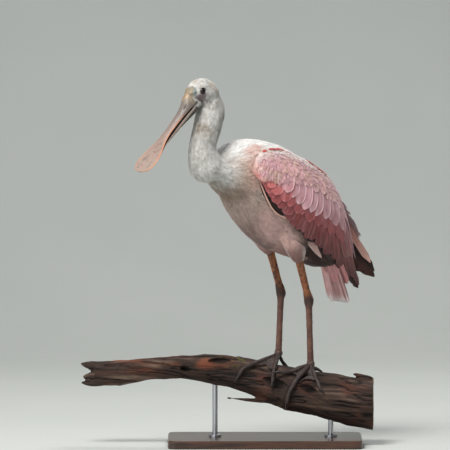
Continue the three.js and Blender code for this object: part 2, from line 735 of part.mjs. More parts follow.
// Point of the weathered surface: angle 0 is on top and a quarter turn faces the viewer
function perchPoint(x, angle, lift = 0) {
  const s = perchAt(x);
  const high = (s.top - s.bottom) / 2;
  const ridge = 0.045 * Math.sin(3 * angle + 0.011 * x + 1.1) + 0.03 * Math.sin(7 * angle - 0.016 * x);
  const size = 1 + ridge * smooth(Math.abs(angle), 0, 0.7);
  return vec(
    x,
    s.y - (s.deep * size + lift) * Math.sin(angle),
    (s.top + s.bottom) / 2 + (high * size + lift) * Math.cos(angle),
  );
}

function perchTrunk(grow) {
  const first = PERCH[0].x;
  const last = PERCH[PERCH.length - 1].x;
  return solid(loft(Array.from({ length: PERCH_RINGS }, (_, k) => {
    const x = lerp(first, last, k / (PERCH_RINGS - 1));
    return Array.from({ length: PERCH_SIDES }, (_, i) => {
      let angle = (2 * Math.PI * i) / PERCH_SIDES;
      if (angle > Math.PI) angle -= 2 * Math.PI;
      return perchPoint(x, angle, grow);
    });
  })));
}

// Broken prongs at the left end, a splinter under the middle and one on top by the cut:
// x, y, z and radius along each
const SPLINTERS = [
  [[-270, 3, 133, 8], [-292, 3, 134, 9], [-305, 2, 137, 6], [-314, 1, 139, 2]],
  [[-270, 1, 118, 10], [-294, 0, 117, 8], [-304, -1, 116, 5], [-310, -2, 115, 2]],
  [[-270, -2, 110, 8], [-290, -3, 107, 7], [-303, -4, 106, 5], [-313, -5, 107, 2]],
  [[40, -14, 72, 9], [8, -16, 75, 5.5], [-28, -17, 78, 4.5], [-66, -18, 81, 1.5]],
  [[190, 4, 100, 10], [176, 2, 110, 8], [162, 0, 117, 5], [150, -2, 121, 1.8]],
];
const CAVITIES = [
  { x: 16, y: -33, z: 108, rx: 23, ry: 9, rz: 9, tilt: 0.35 },
  { x: 73, y: -37, z: 99, rx: 17, ry: 8, rz: 6, tilt: 0.4 },
];

function perchBody(grow) {
  const splinters = SPLINTERS.map((run) => {
    const points = run.map(([x, y, z]) => vec(x, y, z));
    return solid(tube(points, run.map((place) => place[3] + grow), 6, 1, 4, vec(0, 1, 0)));
  });
  const hollows = CAVITIES.map(({ x, y, z, rx, ry, rz, tilt }) => {
    const geometry = ball(0, 0, 0, rx - grow, ry - grow, rz - grow, 10).rotateY(tilt);
    return solid(geometry.translate(x, y, z));
  });
  const end = solid(box(185 + grow, 260, -100, 100, 0, 200));
  return joined([perchTrunk(grow), ...splinters]).subtract(joined([...hollows, end]));
}

const baseTop = BASE.height;
const rodTops = {};
const rods = {};
for (const [name, x] of Object.entries(ROD_PLACES)) {
  const s = perchAt(x);
  rodTops[name] = s.bottom + ROD.depthInPerch;
  const profile = [
    [0, baseTop + GAP], [ROD.flange, baseTop + GAP], [ROD.flange, baseTop + ROD.flangeHeight],
    [ROD.radius, baseTop + ROD.flangeHeight + 2], [ROD.radius, rodTops[name]], [0, rodTops[name]],
  ].map(([r, z]) => new THREE.Vector2(r, z));
  rods[name] = new THREE.LatheGeometry(profile, ROD.sides).rotateX(Math.PI / 2).translate(x, s.y, 0);
}

function rodHole(name, x) {
  const top = rodTops[name] + GAP;
  const geometry = new THREE.CylinderGeometry(ROD.radius + GAP, ROD.radius + GAP, top, ROD.holeSides);
  return solid(geometry.rotateX(Math.PI / 2).translate(x, perchAt(x).y, top / 2));
}

const rodHoles = joined(Object.entries(ROD_PLACES).map(([name, x]) => rodHole(name, x)));
addNode(model, 'perch', perchBody(0).subtract(rodHoles), 'wood');
for (const name of Object.keys(rods)) {
  addNode(model, `stand_rod_${name}`, solid(rods[name]), 'steel');
}

// Base: a plate with round corners and a small bevel all round
function basePlate() {
  const { length, depth, height, corner, bevel } = BASE;
  const x = length / 2 - bevel;
  const y = depth / 2 - bevel;
  const r = corner - bevel;
  const shape = new THREE.Shape();
  shape.moveTo(-x + r, -y);
  shape.lineTo(x - r, -y);
  shape.absarc(x - r, -y + r, r, -Math.PI / 2, 0, false);
  shape.lineTo(x, y - r);
  shape.absarc(x - r, y - r, r, 0, Math.PI / 2, false);
  shape.lineTo(-x + r, y);
  shape.absarc(-x + r, y - r, r, Math.PI / 2, Math.PI, false);
  shape.lineTo(-x, -y + r);
  shape.absarc(-x + r, -y + r, r, Math.PI, 1.5 * Math.PI, false);
  const geometry = new THREE.ExtrudeGeometry(shape, {
    depth: height - 2 * bevel,
    bevelEnabled: true,
    bevelSize: bevel,
    bevelThickness: bevel,
    bevelSegments: 1,
    curveSegments: 4,
  });
  return geometry.translate(0, 0, bevel);
}
addNode(model, 'stand_base', solid(basePlate()), 'base');

// Legs. The thigh is feathered down to the top of the bare shin.
const LEGS = {
  left: {
    thigh: [vec(22, -36, 376), vec(29, -42, 352), vec(37, -40, 333), vec(44, -37, 317)],
    ankle: vec(71.9, -30, 248),
    foot: vec(80.3, -25, 137.7),
  },
  right: {
    thigh: [vec(26, 36, 380), vec(32, 41, 358), vec(38, 39, 341), vec(44, 36.5, 328)],
    ankle: vec(61, 30, 259.6),
    foot: vec(51.2, 25, 154.8),
  },
};
const THIGH_RADII = [26, 24, 18, 10];
const SHIN_RADII = [7.2, 6.6, 6.2, 8, 8.2];
const TARSUS_RADII = [8.4, 8, 5.8, 5.3, 5.8, 6.2];
const FOOT_TOP = 7;
const HEM_RISE = 2;
const birdToWorld = (p) => p.clone()
  .applyAxisAngle(vec(0, 0, 1), BIRD_TURN)
  .add(vec(BIRD_PLACE.x, BIRD_PLACE.y, 0));

function leg(name) {
  const { thigh, ankle, foot } = LEGS[name];
  const thighSolid = solid(tube(thigh, THIGH_RADII, 12, 0.8, 7, vec(1, 0, 0)));
  const hem = thigh[3].z + HEM_RISE;
  const shinTop = thigh[3].clone().lerp(thigh[2], 0.3);
  const shinRun = [0, 0.35, 0.75, 0.93, 1.06].map((t) => shinTop.clone().lerp(ankle, t));
  const shin = tube(shinRun, SHIN_RADII, 10, 0.9, 8, vec(1, 0, 0));
  const lowerRun = [-0.02, 0.04, 0.12, 0.5, 0.9, 1.02].map((t) => ankle.clone().lerp(foot, t));
  const lower = tube(lowerRun, TARSUS_RADII, 10, 0.85, 10, vec(1, 0, 0));
  const between = (low, high) => solid(box(-60, 200, ankle.y - 40, ankle.y + 40, low, high));
  addNode(bird, `thigh_${name}`, thighSolid.subtract(torsoGrown).intersect(between(hem, 500)), 'white');
  addNode(bird, `shin_${name}`, solid(shin).intersect(between(ankle.z, hem - GAP)), 'leg');
  const lowerSpan = between(foot.z + FOOT_TOP + GAP, ankle.z - GAP);
  addNode(bird, `tarsus_${name}`, solid(lower).intersect(lowerSpan), 'leg');
}
leg('left');
leg('right');

// Feet. A toe runs from the ball of the foot over the perch: x, angle round it, and lift.
const TOE_SIDES = 6;
const FEET = {
  left: {
    toes: {
      inner: { path: [[62, 0.42, 8], [44, 0.68, 5.5], [27, 0.88, 8]], claw: [8, 1.12, 12.5], size: 3.9 },
      middle: {
        path: [[70, 0.5, 9], [55, 1.0, 6], [41, 1.62, 6], [37, 2.0, 6]],
        claw: [35, 2.55, 5],
        size: 4.2,
      },
      outer: { path: [[82, 0.5, 8], [88, 0.85, 5], [93, 1.2, 5]], claw: [101, 1.42, 2], size: 3.8 },
      hind: { path: [[84, -0.15, 6], [91, -0.4, 4.4]], claw: [100, -0.6, 1.5], size: 3.4 },
    },
    webs: [['inner', 'middle'], ['middle', 'outer']],
  },
  right: {
    toes: {
      inner: { path: [[20, 0.3, 9], [15, 0.85, 5.5], [13, 1.3, 5]], claw: [10, 1.72, 2], size: 3.9 },
      middle: {
        path: [[8, 0.1, 9.5], [-13, 0.57, 6], [-36, 1.12, 6.5], [-44, 1.5, 5.5]],
        claw: [-52, 1.95, 2],
        size: 4.2,
      },
      outer: {
        path: [[8, -0.5, 8], [-12, -0.62, 4.6], [-34, -0.62, 4.2]],
        claw: [-52, -0.55, 1.5],
        size: 3.8,
      },
      hind: { path: [[30, -0.4, 8], [37, -0.62, 4.6]], claw: [46, -0.8, 1.5], size: 3.4 },
    },
    webs: [['inner', 'middle'], ['middle', 'outer']],
  },
};

const perchGrown = perchBody(GAP);

// Web between the roots of two toes: a thin sheet from the ball of the foot, hollow at its free edge
const WEB = { along: 0.55, sag: 3.2, half: 0.8 };

function web(heel, first, second) {
  const corner = (path, height) => {
    const [from, to] = path;
    const [x, angle, lift] = from.map((value, i) => lerp(value, to[i], WEB.along));
    return perchPoint(x, angle, lift + height);
  };
  const hollow = (height) => {
    const x = (first[0][0] + second[0][0]) / 2;
    const angle = (first[0][1] + second[0][1]) / 2;
    return perchPoint(x, angle, WEB.sag + height);
  };
  const points = [-WEB.half, WEB.half].flatMap((height) => [
    heel.clone().add(vec(0, 0, height)), corner(first, height), hollow(height), corner(second, height),
  ]);
  const faces = [[0, 2, 1], [0, 3, 2], [4, 5, 6], [4, 6, 7]];
  for (let i = 0; i < 4; i += 1) {
    const next = (i + 1) % 4;
    faces.push([i, next, next + 4], [i, next + 4, i + 4]);
  }
  return solid(shell(points, faces));
}

function footParts(name) {
  const heel = birdToWorld(LEGS[name].foot);
  const { toes, webs } = FEET[name];
  const solids = [solid(ball(heel.x, heel.y, heel.z + 1, 7.4, 7, 7.5, 12))];
  solids.push(solid(tube(
    [heel.clone().add(vec(0, 0, 2)), heel.clone().add(vec(-0.3, 0, FOOT_TOP))],
    [6.2, 6.2],
    10,
    0.9,
    2,
    vec(1, 0, 0),
  )));
  const claws = {};
  for (const [toe, { path, claw, size }] of Object.entries(toes)) {
    const run = path.map(([x, angle, lift]) => perchPoint(x, angle, lift));
    const tip = perchPoint(...claw);
    const end = run[run.length - 1];
    const start = heel.clone().add(vec(0, 0, -1));
    const points = [start, ...run, end.clone().lerp(tip, 0.12)];
    const radii = points.map((_, i) => size * (1 - 0.07 * i));
    solids.push(solid(tube(points, radii, TOE_SIDES, 1, points.length + 4)));
    const wider = radii.map((r) => r + GAP);
    const last = points[points.length - 1];
    const onward = last.clone().sub(points[points.length - 2]).setLength(GAP * 1.2);
    const endCap = tube([last.clone().sub(onward), last.clone().add(onward)], [size, size], 10);
    const toeGrown = solid(tube(points, wider, TOE_SIDES, 1, points.length + 4)).add(solid(endCap));
    const rise = tip.clone().sub(end).length() * 0.12;
    const outward = vec(0, -Math.sin(claw[1]), Math.cos(claw[1]));
    const middle = end.clone().lerp(tip, 0.6).addScaledVector(outward, rise);
    const clawTube = tube([end, middle, tip], [size * 0.72, size * 0.5, 0.5], 6, 0.8, 5);
    claws[toe] = solid(clawTube).subtract(toeGrown);
  }
  for (const [first, second] of webs) {
    solids.push(web(heel, toes[first].path, toes[second].path));
  }
  return { body: joined(solids), claws };
}

for (const name of ['left', 'right']) {
  const { body, claws } = footParts(name);
  const tarsusEnd = solid(box(-100, 200, -150, 150, LEGS[name].foot.z + FOOT_TOP, 300));
  const foot = body.subtract(perchGrown).subtract(tarsusEnd);
  addNode(model, `foot_${name}`, foot, 'toe');
  for (const [toe, claw] of Object.entries(claws)) {
    addNode(model, `claw_${name}_${toe}`, claw.subtract(perchGrown), 'claw');
  }
}

export default model;
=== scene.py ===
# Roseate spoonbill on driftwood: the looks of the model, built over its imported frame.
# Tables are millimetres in the bird's own frame: x from beak to tail, y to its right side, z up.
# Meshes are turned into metres in the shared frame when they are made.

import itertools
import json
import math

import bpy
import numpy as np
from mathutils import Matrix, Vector
from mathutils.bvhtree import BVHTree

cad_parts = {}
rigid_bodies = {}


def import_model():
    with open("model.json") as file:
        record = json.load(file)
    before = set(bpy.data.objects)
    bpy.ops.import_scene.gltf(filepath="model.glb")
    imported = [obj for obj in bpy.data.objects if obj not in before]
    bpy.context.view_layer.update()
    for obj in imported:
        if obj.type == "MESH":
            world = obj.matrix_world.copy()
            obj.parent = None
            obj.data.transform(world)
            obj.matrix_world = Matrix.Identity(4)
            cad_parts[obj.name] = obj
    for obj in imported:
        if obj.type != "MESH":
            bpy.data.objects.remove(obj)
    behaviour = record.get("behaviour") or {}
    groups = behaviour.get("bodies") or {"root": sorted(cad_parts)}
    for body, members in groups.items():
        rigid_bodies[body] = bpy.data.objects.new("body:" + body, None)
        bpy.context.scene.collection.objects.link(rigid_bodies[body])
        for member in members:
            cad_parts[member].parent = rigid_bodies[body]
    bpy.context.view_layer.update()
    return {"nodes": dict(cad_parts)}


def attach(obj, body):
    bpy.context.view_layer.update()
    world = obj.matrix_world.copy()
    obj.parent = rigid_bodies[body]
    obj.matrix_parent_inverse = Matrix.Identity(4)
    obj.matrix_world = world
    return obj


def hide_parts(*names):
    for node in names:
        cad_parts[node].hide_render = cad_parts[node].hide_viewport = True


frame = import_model()

BIRD_TURN = math.radians(40)
BIRD_SHIFT = np.array([0.0, -42.0, 0.0])


# Small tools

def to_world(points):
    """Bird frame to the shared frame, still in millimetres."""
    points = np.asarray(points, float)
    c, s = math.cos(BIRD_TURN), math.sin(BIRD_TURN)
    x = points[..., 0] * c - points[..., 1] * s
    y = points[..., 0] * s + points[..., 1] * c
    return np.stack([x, y, points[..., 2]], -1) + BIRD_SHIFT


def unit(v):
    return v / np.maximum(np.linalg.norm(v, axis=-1, keepdims=True), 1e-9)


def smooth(value, low, high):
    t = np.clip((np.asarray(value, float) - low) / (high - low), 0, 1)
    return t * t * (3 - 2 * t)


def mix(a, b, amount):
    amount = np.clip(np.asarray(amount, float), 0, 1)[..., None]
    return a * (1 - amount) + b * amount


def srgb(red, green, blue):
    """Linear colour from display values of 0 to 255."""
    c = np.array([red, green, blue], float) / 255
    return np.where(c <= 0.04045, c / 12.92, ((c + 0.055) / 1.055) ** 2.4)


def spline(rows, place):
    """Catmull-Rom run through rows at places from 0 to 1."""
    p = np.asarray(rows, float)
    last = len(p) - 1
    ends = np.vstack([2 * p[0] - p[1], p, 2 * p[-1] - p[-2]])
    t = np.clip(place, 0, 1) * last
    i = np.minimum(t.astype(int), last - 1)
    t = (t - i)[..., None]
    a, b, c, d = ends[i], ends[i + 1], ends[i + 2], ends[i + 3]
    into, out = (c - a) / 2, (d - b) / 2
    return ((2 * t**3 - 3 * t**2 + 1) * b + (t**3 - 2 * t**2 + t) * into
            + (3 * t**2 - 2 * t**3) * c + (t**3 - t**2) * out)


def through(rows, count):
    return spline(rows, np.linspace(0, 1, count))


HASH_FACTORS = (374761393, 668265263, 2147483647)
HASH_SEED = 974634777
HASH_STIR = 1274126177
HASH_MASK = 0xFFFFFF


def hashed(cell, seed):
    """Repeatable random value from 0 to 1 for whole-number cells."""
    n = sum(cell[..., k] * factor for k, factor in enumerate(HASH_FACTORS)) + seed * HASH_SEED
    n = (n ^ (n >> 13)) * HASH_STIR
    n = n ^ (n >> 16)
    return (n & HASH_MASK) / float(HASH_MASK)


def noise(points, size, seed=0):
    """Smooth noise from -1 to 1 with features of that size."""
    p = np.asarray(points, float) / size
    cell = np.floor(p).astype(np.int64)
    f = p - cell
    f = f * f * (3 - 2 * f)
    total = np.zeros(p.shape[:-1])
    for corner in itertools.product((0, 1), repeat=3):
        x, y, z = (f[..., k] if far else 1 - f[..., k] for k, far in enumerate(corner))
        total += x * y * z * hashed(cell + np.array(corner), seed)
    return total * 2 - 1


def layered(points, size, seed=0, layers=3):
    """Noise in layers, each with features half the size of the one before."""
    total = np.zeros(np.asarray(points).shape[:-1])
    for k in range(layers):
        total += noise(points, size / 2**k, seed + 17 * k) / 2**k
    return total / (2 - 0.5 ** (layers - 1))


def make_piece(name, points, faces, material, tint, uvs=None, in_bird=True):
    """Mesh piece from points in millimetres, faces of equal size, a colour for each point and
    UV maps given for each corner."""
    points = to_world(points) if in_bird else np.asarray(points, float)
    faces = np.asarray(faces, np.int32)
    mesh = bpy.data.meshes.new(name)
    mesh.vertices.add(len(points))
    mesh.vertices.foreach_set("co", (points / 1000).astype(np.float32).ravel())
    corners = faces.shape[1]
    mesh.loops.add(faces.size)
    mesh.loops.foreach_set("vertex_index", faces.ravel())
    mesh.polygons.add(len(faces))
    mesh.polygons.foreach_set("loop_start", np.arange(0, faces.size, corners, dtype=np.int32))
    mesh.polygons.foreach_set("use_smooth", np.ones(len(faces), bool))
    mesh.update(calc_edges=True)
    layer = mesh.color_attributes.new("Tint", "FLOAT_COLOR", "POINT")
    rgba = np.ones((len(points), 4), np.float32)
    rgba[:, :3] = tint
    layer.data.foreach_set("color", rgba.ravel())
    for label, values in (uvs or {}).items():
        uv_map = mesh.uv_layers.new(name=label)
        uv_map.data.foreach_set("uv", np.asarray(values, np.float32).ravel())
    mesh.validate()
    mesh.materials.append(material)
    piece = bpy.data.objects.new(name, mesh)
    bpy.context.scene.collection.objects.link(piece)
    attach(piece, "root")
    return piece


def grid_faces(rows, columns, closed=False):
    """Quads of a grid of points; closed joins the last column to the first."""
    r = np.arange(rows - 1)[:, None]
    c = np.arange(columns if closed else columns - 1)[None, :]
    ahead = (c + 1) % columns
    a = r * columns + c
    b = r * columns + ahead
    return np.stack([a, b, b + columns, a + columns], -1).reshape(-1, 4)


def grid_rim(rows, columns):
    """Numbers of the points round the edge of a grid, in order."""
    number = np.arange(rows * columns).reshape(rows, columns)
    return np.concatenate([number[:-1, 0], number[-1, :-1], number[:0:-1, -1], number[0, :0:-1]])


def halves(quads):
    """Two triangles for each quad."""
    return np.concatenate([quads[:, [0, 1, 2]], quads[:, [0, 2, 3]]])


def fan(first, count, middle, flip=False):
    """Triangles from a ring of points, numbered from first, to a middle point."""
    ring = np.arange(count)
    a, b = (ring, (ring + 1) % count)[::-1 if flip else 1]
    return np.stack([first + a, first + b, np.full(count, middle)], 1)


def tube_rings(path, radii, sides, wide=1.0, up=(1.0, 0.0, 0.0)):
    """Rings round a path of points, each an oval that is wide across and tall along up."""
    path = np.asarray(path, float)
    along = unit(np.gradient(path, axis=0))
    across = unit(np.cross(along, np.asarray(up, float)))
    tall = np.cross(across, along)
    angle = np.linspace(0, 2 * math.pi, sides, endpoint=False)
    r = np.asarray(radii, float)[:, None, None]
    return (path[:, None] + across[:, None] * np.cos(angle)[None, :, None] * r * wide
            + tall[:, None] * np.sin(angle)[None, :, None] * r)


def loft(rings):
    """Points, quads and end fans of a closed skin over rings."""
    rows, sides = rings.shape[:2]
    points = np.vstack([rings.reshape(-1, 3), rings[0].mean(0), rings[-1].mean(0)])
    last, middle = (rows - 1) * sides, rows * sides
    fans = np.concatenate([fan(0, sides, middle, flip=True), fan(last, sides, middle + 1)])
    return points, grid_faces(rows, sides, closed=True), fans


def closed_loft(rings):
    """Points and faces of a closed skin over rings, for the voxel union."""
    points, quads, fans = loft(rings)
    return points.tolist(), quads.tolist() + fans.tolist()


def capped(rings):
    """Triangles over rings, with a fan on each end."""
    points, quads, fans = loft(rings)
    return points, np.concatenate([halves(quads), fans])


# Named sizes of the bird as in its solids: rows of x, z, half height and half width

TORSO = [
    (-146, 474, 6, 8), (-137, 473, 16, 20), (-116, 472, 20, 36), (-88, 472, 41, 51),
    (-51, 467, 61, 60), (-12, 445.5, 77, 64), (28, 416.5, 82, 63), (64, 390, 75, 58),
    (97, 363, 60, 48), (124, 338, 43, 37), (143, 321, 25, 25), (153, 311, 9, 11),
]
NECK = [
    (-122, 609, 8, 8), (-121.5, 603, 14.5, 14.5), (-120.5, 592, 20.5, 19), (-121, 575, 24.5, 22.5),
    (-124.2, 559, 24.5, 24), (-129.2, 542, 24, 23.5), (-135.2, 526, 23, 23), (-138, 512, 23, 23.5),
    (-136, 497, 25.5, 26.5), (-129, 481, 28, 30), (-119, 467, 20, 24),
]
HEAD = [
    (-166, 598.5, 10.5, 11), (-159, 603.5, 16, 14), (-150, 607.5, 20.5, 16.8), (-139, 608, 22, 19),
    (-128, 605, 20.5, 19), (-119, 599, 16, 16), (-114, 594, 8, 9),
]
# Bill: its slope, how far it opens, the corner of the mouth and the eye
BILL_PITCH = math.radians(45.6)
MOUTH_OPENING = math.radians(1.4)
GAPE = (-159.5, 590.0)
EYE = (-150.0, 13.0, 609.0)
EYE_RADIUS = 6.0
# Place along from the gape, half width, rise, drop and bend; a little slimmer above the mouth
# and fuller below it than the solid
BILL = [
    (-6, 11.5, 22.5, 15, 0), (6, 12.5, 18.6, 14.5, 0.5), (20, 11.2, 10.8, 13.2, 1.3),
    (34, 9.8, 6.8, 11.4, 1.9), (54, 9, 4.8, 8.8, 2.5), (78, 9.4, 3.4, 6.4, 2.8),
    (97, 13, 3, 5, 2.9), (115, 20, 2.6, 3.6, 3.0), (130, 24.5, 2.5, 2.6, 2.9),
    (144, 24.5, 2.3, 2, 2.4), (155, 18.5, 2, 1.6, 1.7), (160, 7, 1.2, 1, 1.4),
]
# Legs: the line of each thigh, and the places of ankles and heels
THIGHS = {
    "left": [(22, -36, 376), (29, -42, 352), (37, -40, 333), (44, -37, 317)],
    "right": [(26, 36, 380), (32, 41, 358), (38, 39, 341), (44, 36.5, 328)],
}
THIGH_RADII = (26, 24, 18, 10)
ANKLES = {"left": (71.9, -30, 248), "right": (61, 30, 259.6)}
HEELS = {"left": (80.3, -25, 137.7), "right": (51.2, 25, 154.8)}


def middle_rings(rows, sides, grow=0.0):
    """Oval rings across a line in the bird's middle plane: h half height, w half width."""
    rows = np.asarray(rows, float)
    centre = np.stack([rows[:, 0], np.zeros(len(rows)), rows[:, 1]], 1)
    along = unit(np.gradient(centre, axis=0))
    up = np.stack([-along[:, 2], np.zeros(len(rows)), along[:, 0]], 1)
    angle = np.linspace(0, 2 * math.pi, sides, endpoint=False)
    high = np.maximum(rows[:, 2] + grow, 1.0)[:, None, None]
    wide = np.maximum(rows[:, 3] + grow, 1.0)[:, None, None]
    side = np.array([0.0, 1.0, 0.0])
    return (centre[:, None] + up[:, None] * np.cos(angle)[None, :, None] * high
            + side * np.sin(angle)[None, :, None] * wide)


def bill_point(along, side, up, pitch=BILL_PITCH):
    """Points by their place along the bill from the gape, to its side and above its mouth."""
    along, side, up = np.broadcast_arrays(along, side, up)
    return np.stack([
        GAPE[0] - along * np.cos(pitch) - up * np.sin(pitch),
        side,
        GAPE[1] - along * np.sin(pitch) + up * np.cos(pitch),
    ], -1)


# Wings: a patch from the bend (u 0) to the tip (u 1), lower edge v 0, upper edge v 1

SLOPE_STEP = 0.01
LEFT, RIGHT = -1, 1
WING_EDGES = {
    "left": (
        [(-72, 60, 470), (-60, 67, 448), (-30, 70, 409), (8, 70, 379), (40, 66, 358),
         (76, 57, 338), (114, 43, 318), (150, 27, 297), (182, 15, 278), (205, 8, 263)],
        [(-68, 55, 488), (-48, 51, 505), (-14, 46, 508), (26, 41, 497), (68, 35, 480),
         (106, 28, 459), (138, 20, 427), (160, 13, 385), (182, 9, 333), (209, 6, 273)],
    ),
    "right": (
        [(-72, 60, 470), (-60, 67, 448), (-30, 70, 409), (8, 70, 379), (40, 66, 358),
         (76, 58, 341), (114, 46, 328), (150, 32, 318), (190, 16, 304), (233, 2, 285)],
        [(-68, 55, 488), (-48, 51, 505), (-14, 46, 508), (26, 41, 497), (68, 32, 483),
         (104, 16, 469), (138, 0, 446), (168, -10, 400), (203, -13, 346), (243, -12, 292)],
    ),
}
WING_BULGE = (0.03, 0.15, 0.23, 0.25, 0.24, 0.21, 0.18, 0.16, 0.12, 0.05)


class Wing:
    """Surface of one folded wing; y is counted outward while it is worked out."""

    def __init__(self, name):
        self.side = LEFT if name == "left" else RIGHT
        self.low, self.high = WING_EDGES[name]

    def flat(self, u, v):
        """Points of the wing as if it were the right one, bulged out between its two edges."""
        low, high = self.edge(self.low, u), self.edge(self.high, u)
        chord = high - low
        step = 2 * SLOPE_STEP
        ahead = self.edge(self.low, u + step) + self.edge(self.high, u + step)
        back = self.edge(self.low, u - step) + self.edge(self.high, u - step)
        out = unit(np.cross(ahead - back, chord))
        out = np.where(out[..., 1:2] < 0, -out, out)
        bulge = np.interp(np.clip(u, 0, 1), np.linspace(0, 1, len(WING_BULGE)), WING_BULGE)
        arch = 4 * v * (1 - v) * bulge * np.linalg.norm(chord, axis=-1)
        return low + chord * v[..., None] + out * arch[..., None]

    def edge(self, rows, u):
        """Point of an edge, run on straight past its two ends."""
        inside = np.clip(u, 0, 1)
        step = SLOPE_STEP
        last = (spline(rows, np.array(1.0)) - spline(rows, np.array(1 - step))) / step
        first = (spline(rows, np.array(step)) - spline(rows, np.array(0.0))) / step
        over = (u - inside)[..., None]
        return spline(rows, inside) + np.where(over > 0, last, first) * over

    def frame(self, u, v):
        """Point and outward normal at places on the wing, mirrored to its side."""
        u, v = (np.asarray(a, float) for a in np.broadcast_arrays(u, v))
        step = SLOPE_STEP
        along = (self.flat(u + step, v) - self.flat(u - step, v)) / (2 * step)
        across = (self.flat(u, v + step) - self.flat(u, v - step)) / (2 * step)
        out = unit(np.cross(along, across))
        out = np.where(out[..., 1:2] < 0, -out, out)
        point = self.flat(u, v)
        for each in (point, out):
            each[..., 1] *= self.side
        return point, out

    def at(self, u, v, height):
        """Points at a height over the wing."""
        point, out = self.frame(u, v)
        return point + out * np.asarray(height, float)[..., None]


WINGS = {name: Wing(name) for name in ("left", "right")}


def wing_core(name):
    """Flesh of the folded wing under its coverts, as a closed slab."""
    wing = WINGS[name]
    us, vs = np.linspace(0.02, 0.5, 30), np.linspace(0.2, 0.97, 26)
    u, v = np.meshgrid(us, vs, indexing="ij")
    high = smooth(v, 0.5, 0.7) * (1 - smooth(u, 0.4, 0.56))
    top = wing.at(u, v, -5.4 + 4.4 * high)
    under = wing.at(u, v, np.full_like(u, -8.5))
    points = np.concatenate([top.reshape(-1, 3), under.reshape(-1, 3)])
    quads = grid_faces(*u.shape)
    layer = u.size
    loop = grid_rim(*u.shape)
    ahead = np.roll(loop, -1)
    rim_faces = np.stack([ahead, loop, loop + layer, ahead + layer], 1)
    faces = np.concatenate([quads, quads[:, ::-1] + layer, rim_faces])
    if wing.side == RIGHT:
        faces = faces[:, ::-1]
    return [tuple(p) for p in points], [tuple(f) for f in faces.tolist()]


# Colours of the plumage and skin, as display values

WHITE = srgb(228, 226, 222)
GREY_WHITE = srgb(176, 172, 165)
BACK_WHITE = srgb(244, 242, 239)
BUFF = srgb(140, 116, 84)
BUFF_PALE = srgb(204, 184, 156)
CHEEK = srgb(104, 92, 80)
SHOULDER = srgb(226, 180, 166)
OLIVE = srgb(128, 106, 82)
BREAST = srgb(210, 190, 176)
BREAST_PINK = srgb(228, 196, 187)
BELLY = srgb(126, 93, 88)
BELLY_SHADE = srgb(50, 33, 31)
FLANK = srgb(234, 196, 187)
UNDER_SHADE = srgb(48, 29, 23)
FACE_GREY = srgb(118, 110, 102)
FACE_BUFF = srgb(164, 146, 112)
FACE_BLUE = srgb(142, 166, 170)
FACE_ORANGE = srgb(190, 132, 70)
FACE_PURPLE = srgb(116, 98, 102)
FACE_DARK = srgb(44, 40, 38)
CHIN_GREY = srgb(72, 72, 76)
MOUTH_CREASE_SHADE = srgb(20, 12, 12)
LILAC = srgb(220, 172, 180)
LILAC_PALE = srgb(236, 208, 210)
ROSE_LILAC = srgb(202, 140, 146)
CORAL = srgb(208, 116, 112)
ROSE = srgb(164, 82, 84)
DUSK = srgb(124, 62, 60)
MAROON = srgb(92, 40, 40)
BROWN = srgb(70, 42, 34)
GAP_SHADOW = srgb(40, 22, 16)
BLACK = srgb(20, 13, 13)
COVERT_BUFF = srgb(204, 168, 140)
RED_LINE = srgb(190, 70, 62)
FAR_PINK = srgb(226, 138, 134)
TAIL_PINK = srgb(228, 182, 180)
TAIL_ROSE = srgb(206, 140, 140)
THIGH = srgb(158, 120, 114)
THIGH_RIM_LIGHT = srgb(244, 230, 222)

# Colours of bill and eyes

BILL_GREY = srgb(118, 108, 102)
BILL_PINK = srgb(158, 134, 124)
BILL_PALE = srgb(172, 154, 142)
BILL_ORANGE = srgb(204, 140, 106)
BILL_FLECK = srgb(104, 94, 88)
BILL_STRIP = srgb(190, 172, 160)
GULLET = srgb(34, 10, 10)
TONGUE = srgb(120, 58, 48)
IRIS_RED = srgb(46, 14, 10)
IRIS_DARK = srgb(12, 5, 5)
PUPIL = srgb(3, 3, 3)
LID_PALE = srgb(196, 190, 184)
LID_RIM = srgb(40, 28, 28)

# Colours of legs, claws and perch

LEG_TAN = srgb(122, 84, 66)
LEG_DUSK = srgb(84, 52, 47)
LEG_ORANGE = srgb(176, 112, 66)
LEG_RUST = srgb(132, 68, 46)
LEG_MOTTLE = srgb(44, 28, 24)
LEG_JOINT = srgb(52, 32, 29)
LEG_SPECK = srgb(40, 26, 23)
FOOT_BROWN = srgb(66, 50, 45)
FOOT_DARK = srgb(38, 29, 28)
FOOT_TAN = srgb(112, 80, 68)
FOOT_SCALE = srgb(98, 80, 70)
CLAW_BROWN = srgb(46, 36, 32)
CLAW_DARK = srgb(28, 22, 22)
WOOD_DARK = srgb(50, 38, 33)
WOOD_BROWN = srgb(84, 62, 51)
WOOD_PALE = srgb(142, 122, 106)
WOOD_RED = srgb(98, 56, 43)
WOOD_CRACK_SHADE = srgb(22, 17, 15)
WOOD_GLOW = srgb(150, 84, 58)
WOOD_SHADE = srgb(14, 10, 9)
MOSS = srgb(112, 112, 44)
SAWN_PALE = srgb(150, 122, 96)
SAWN_DARK = srgb(104, 78, 58)

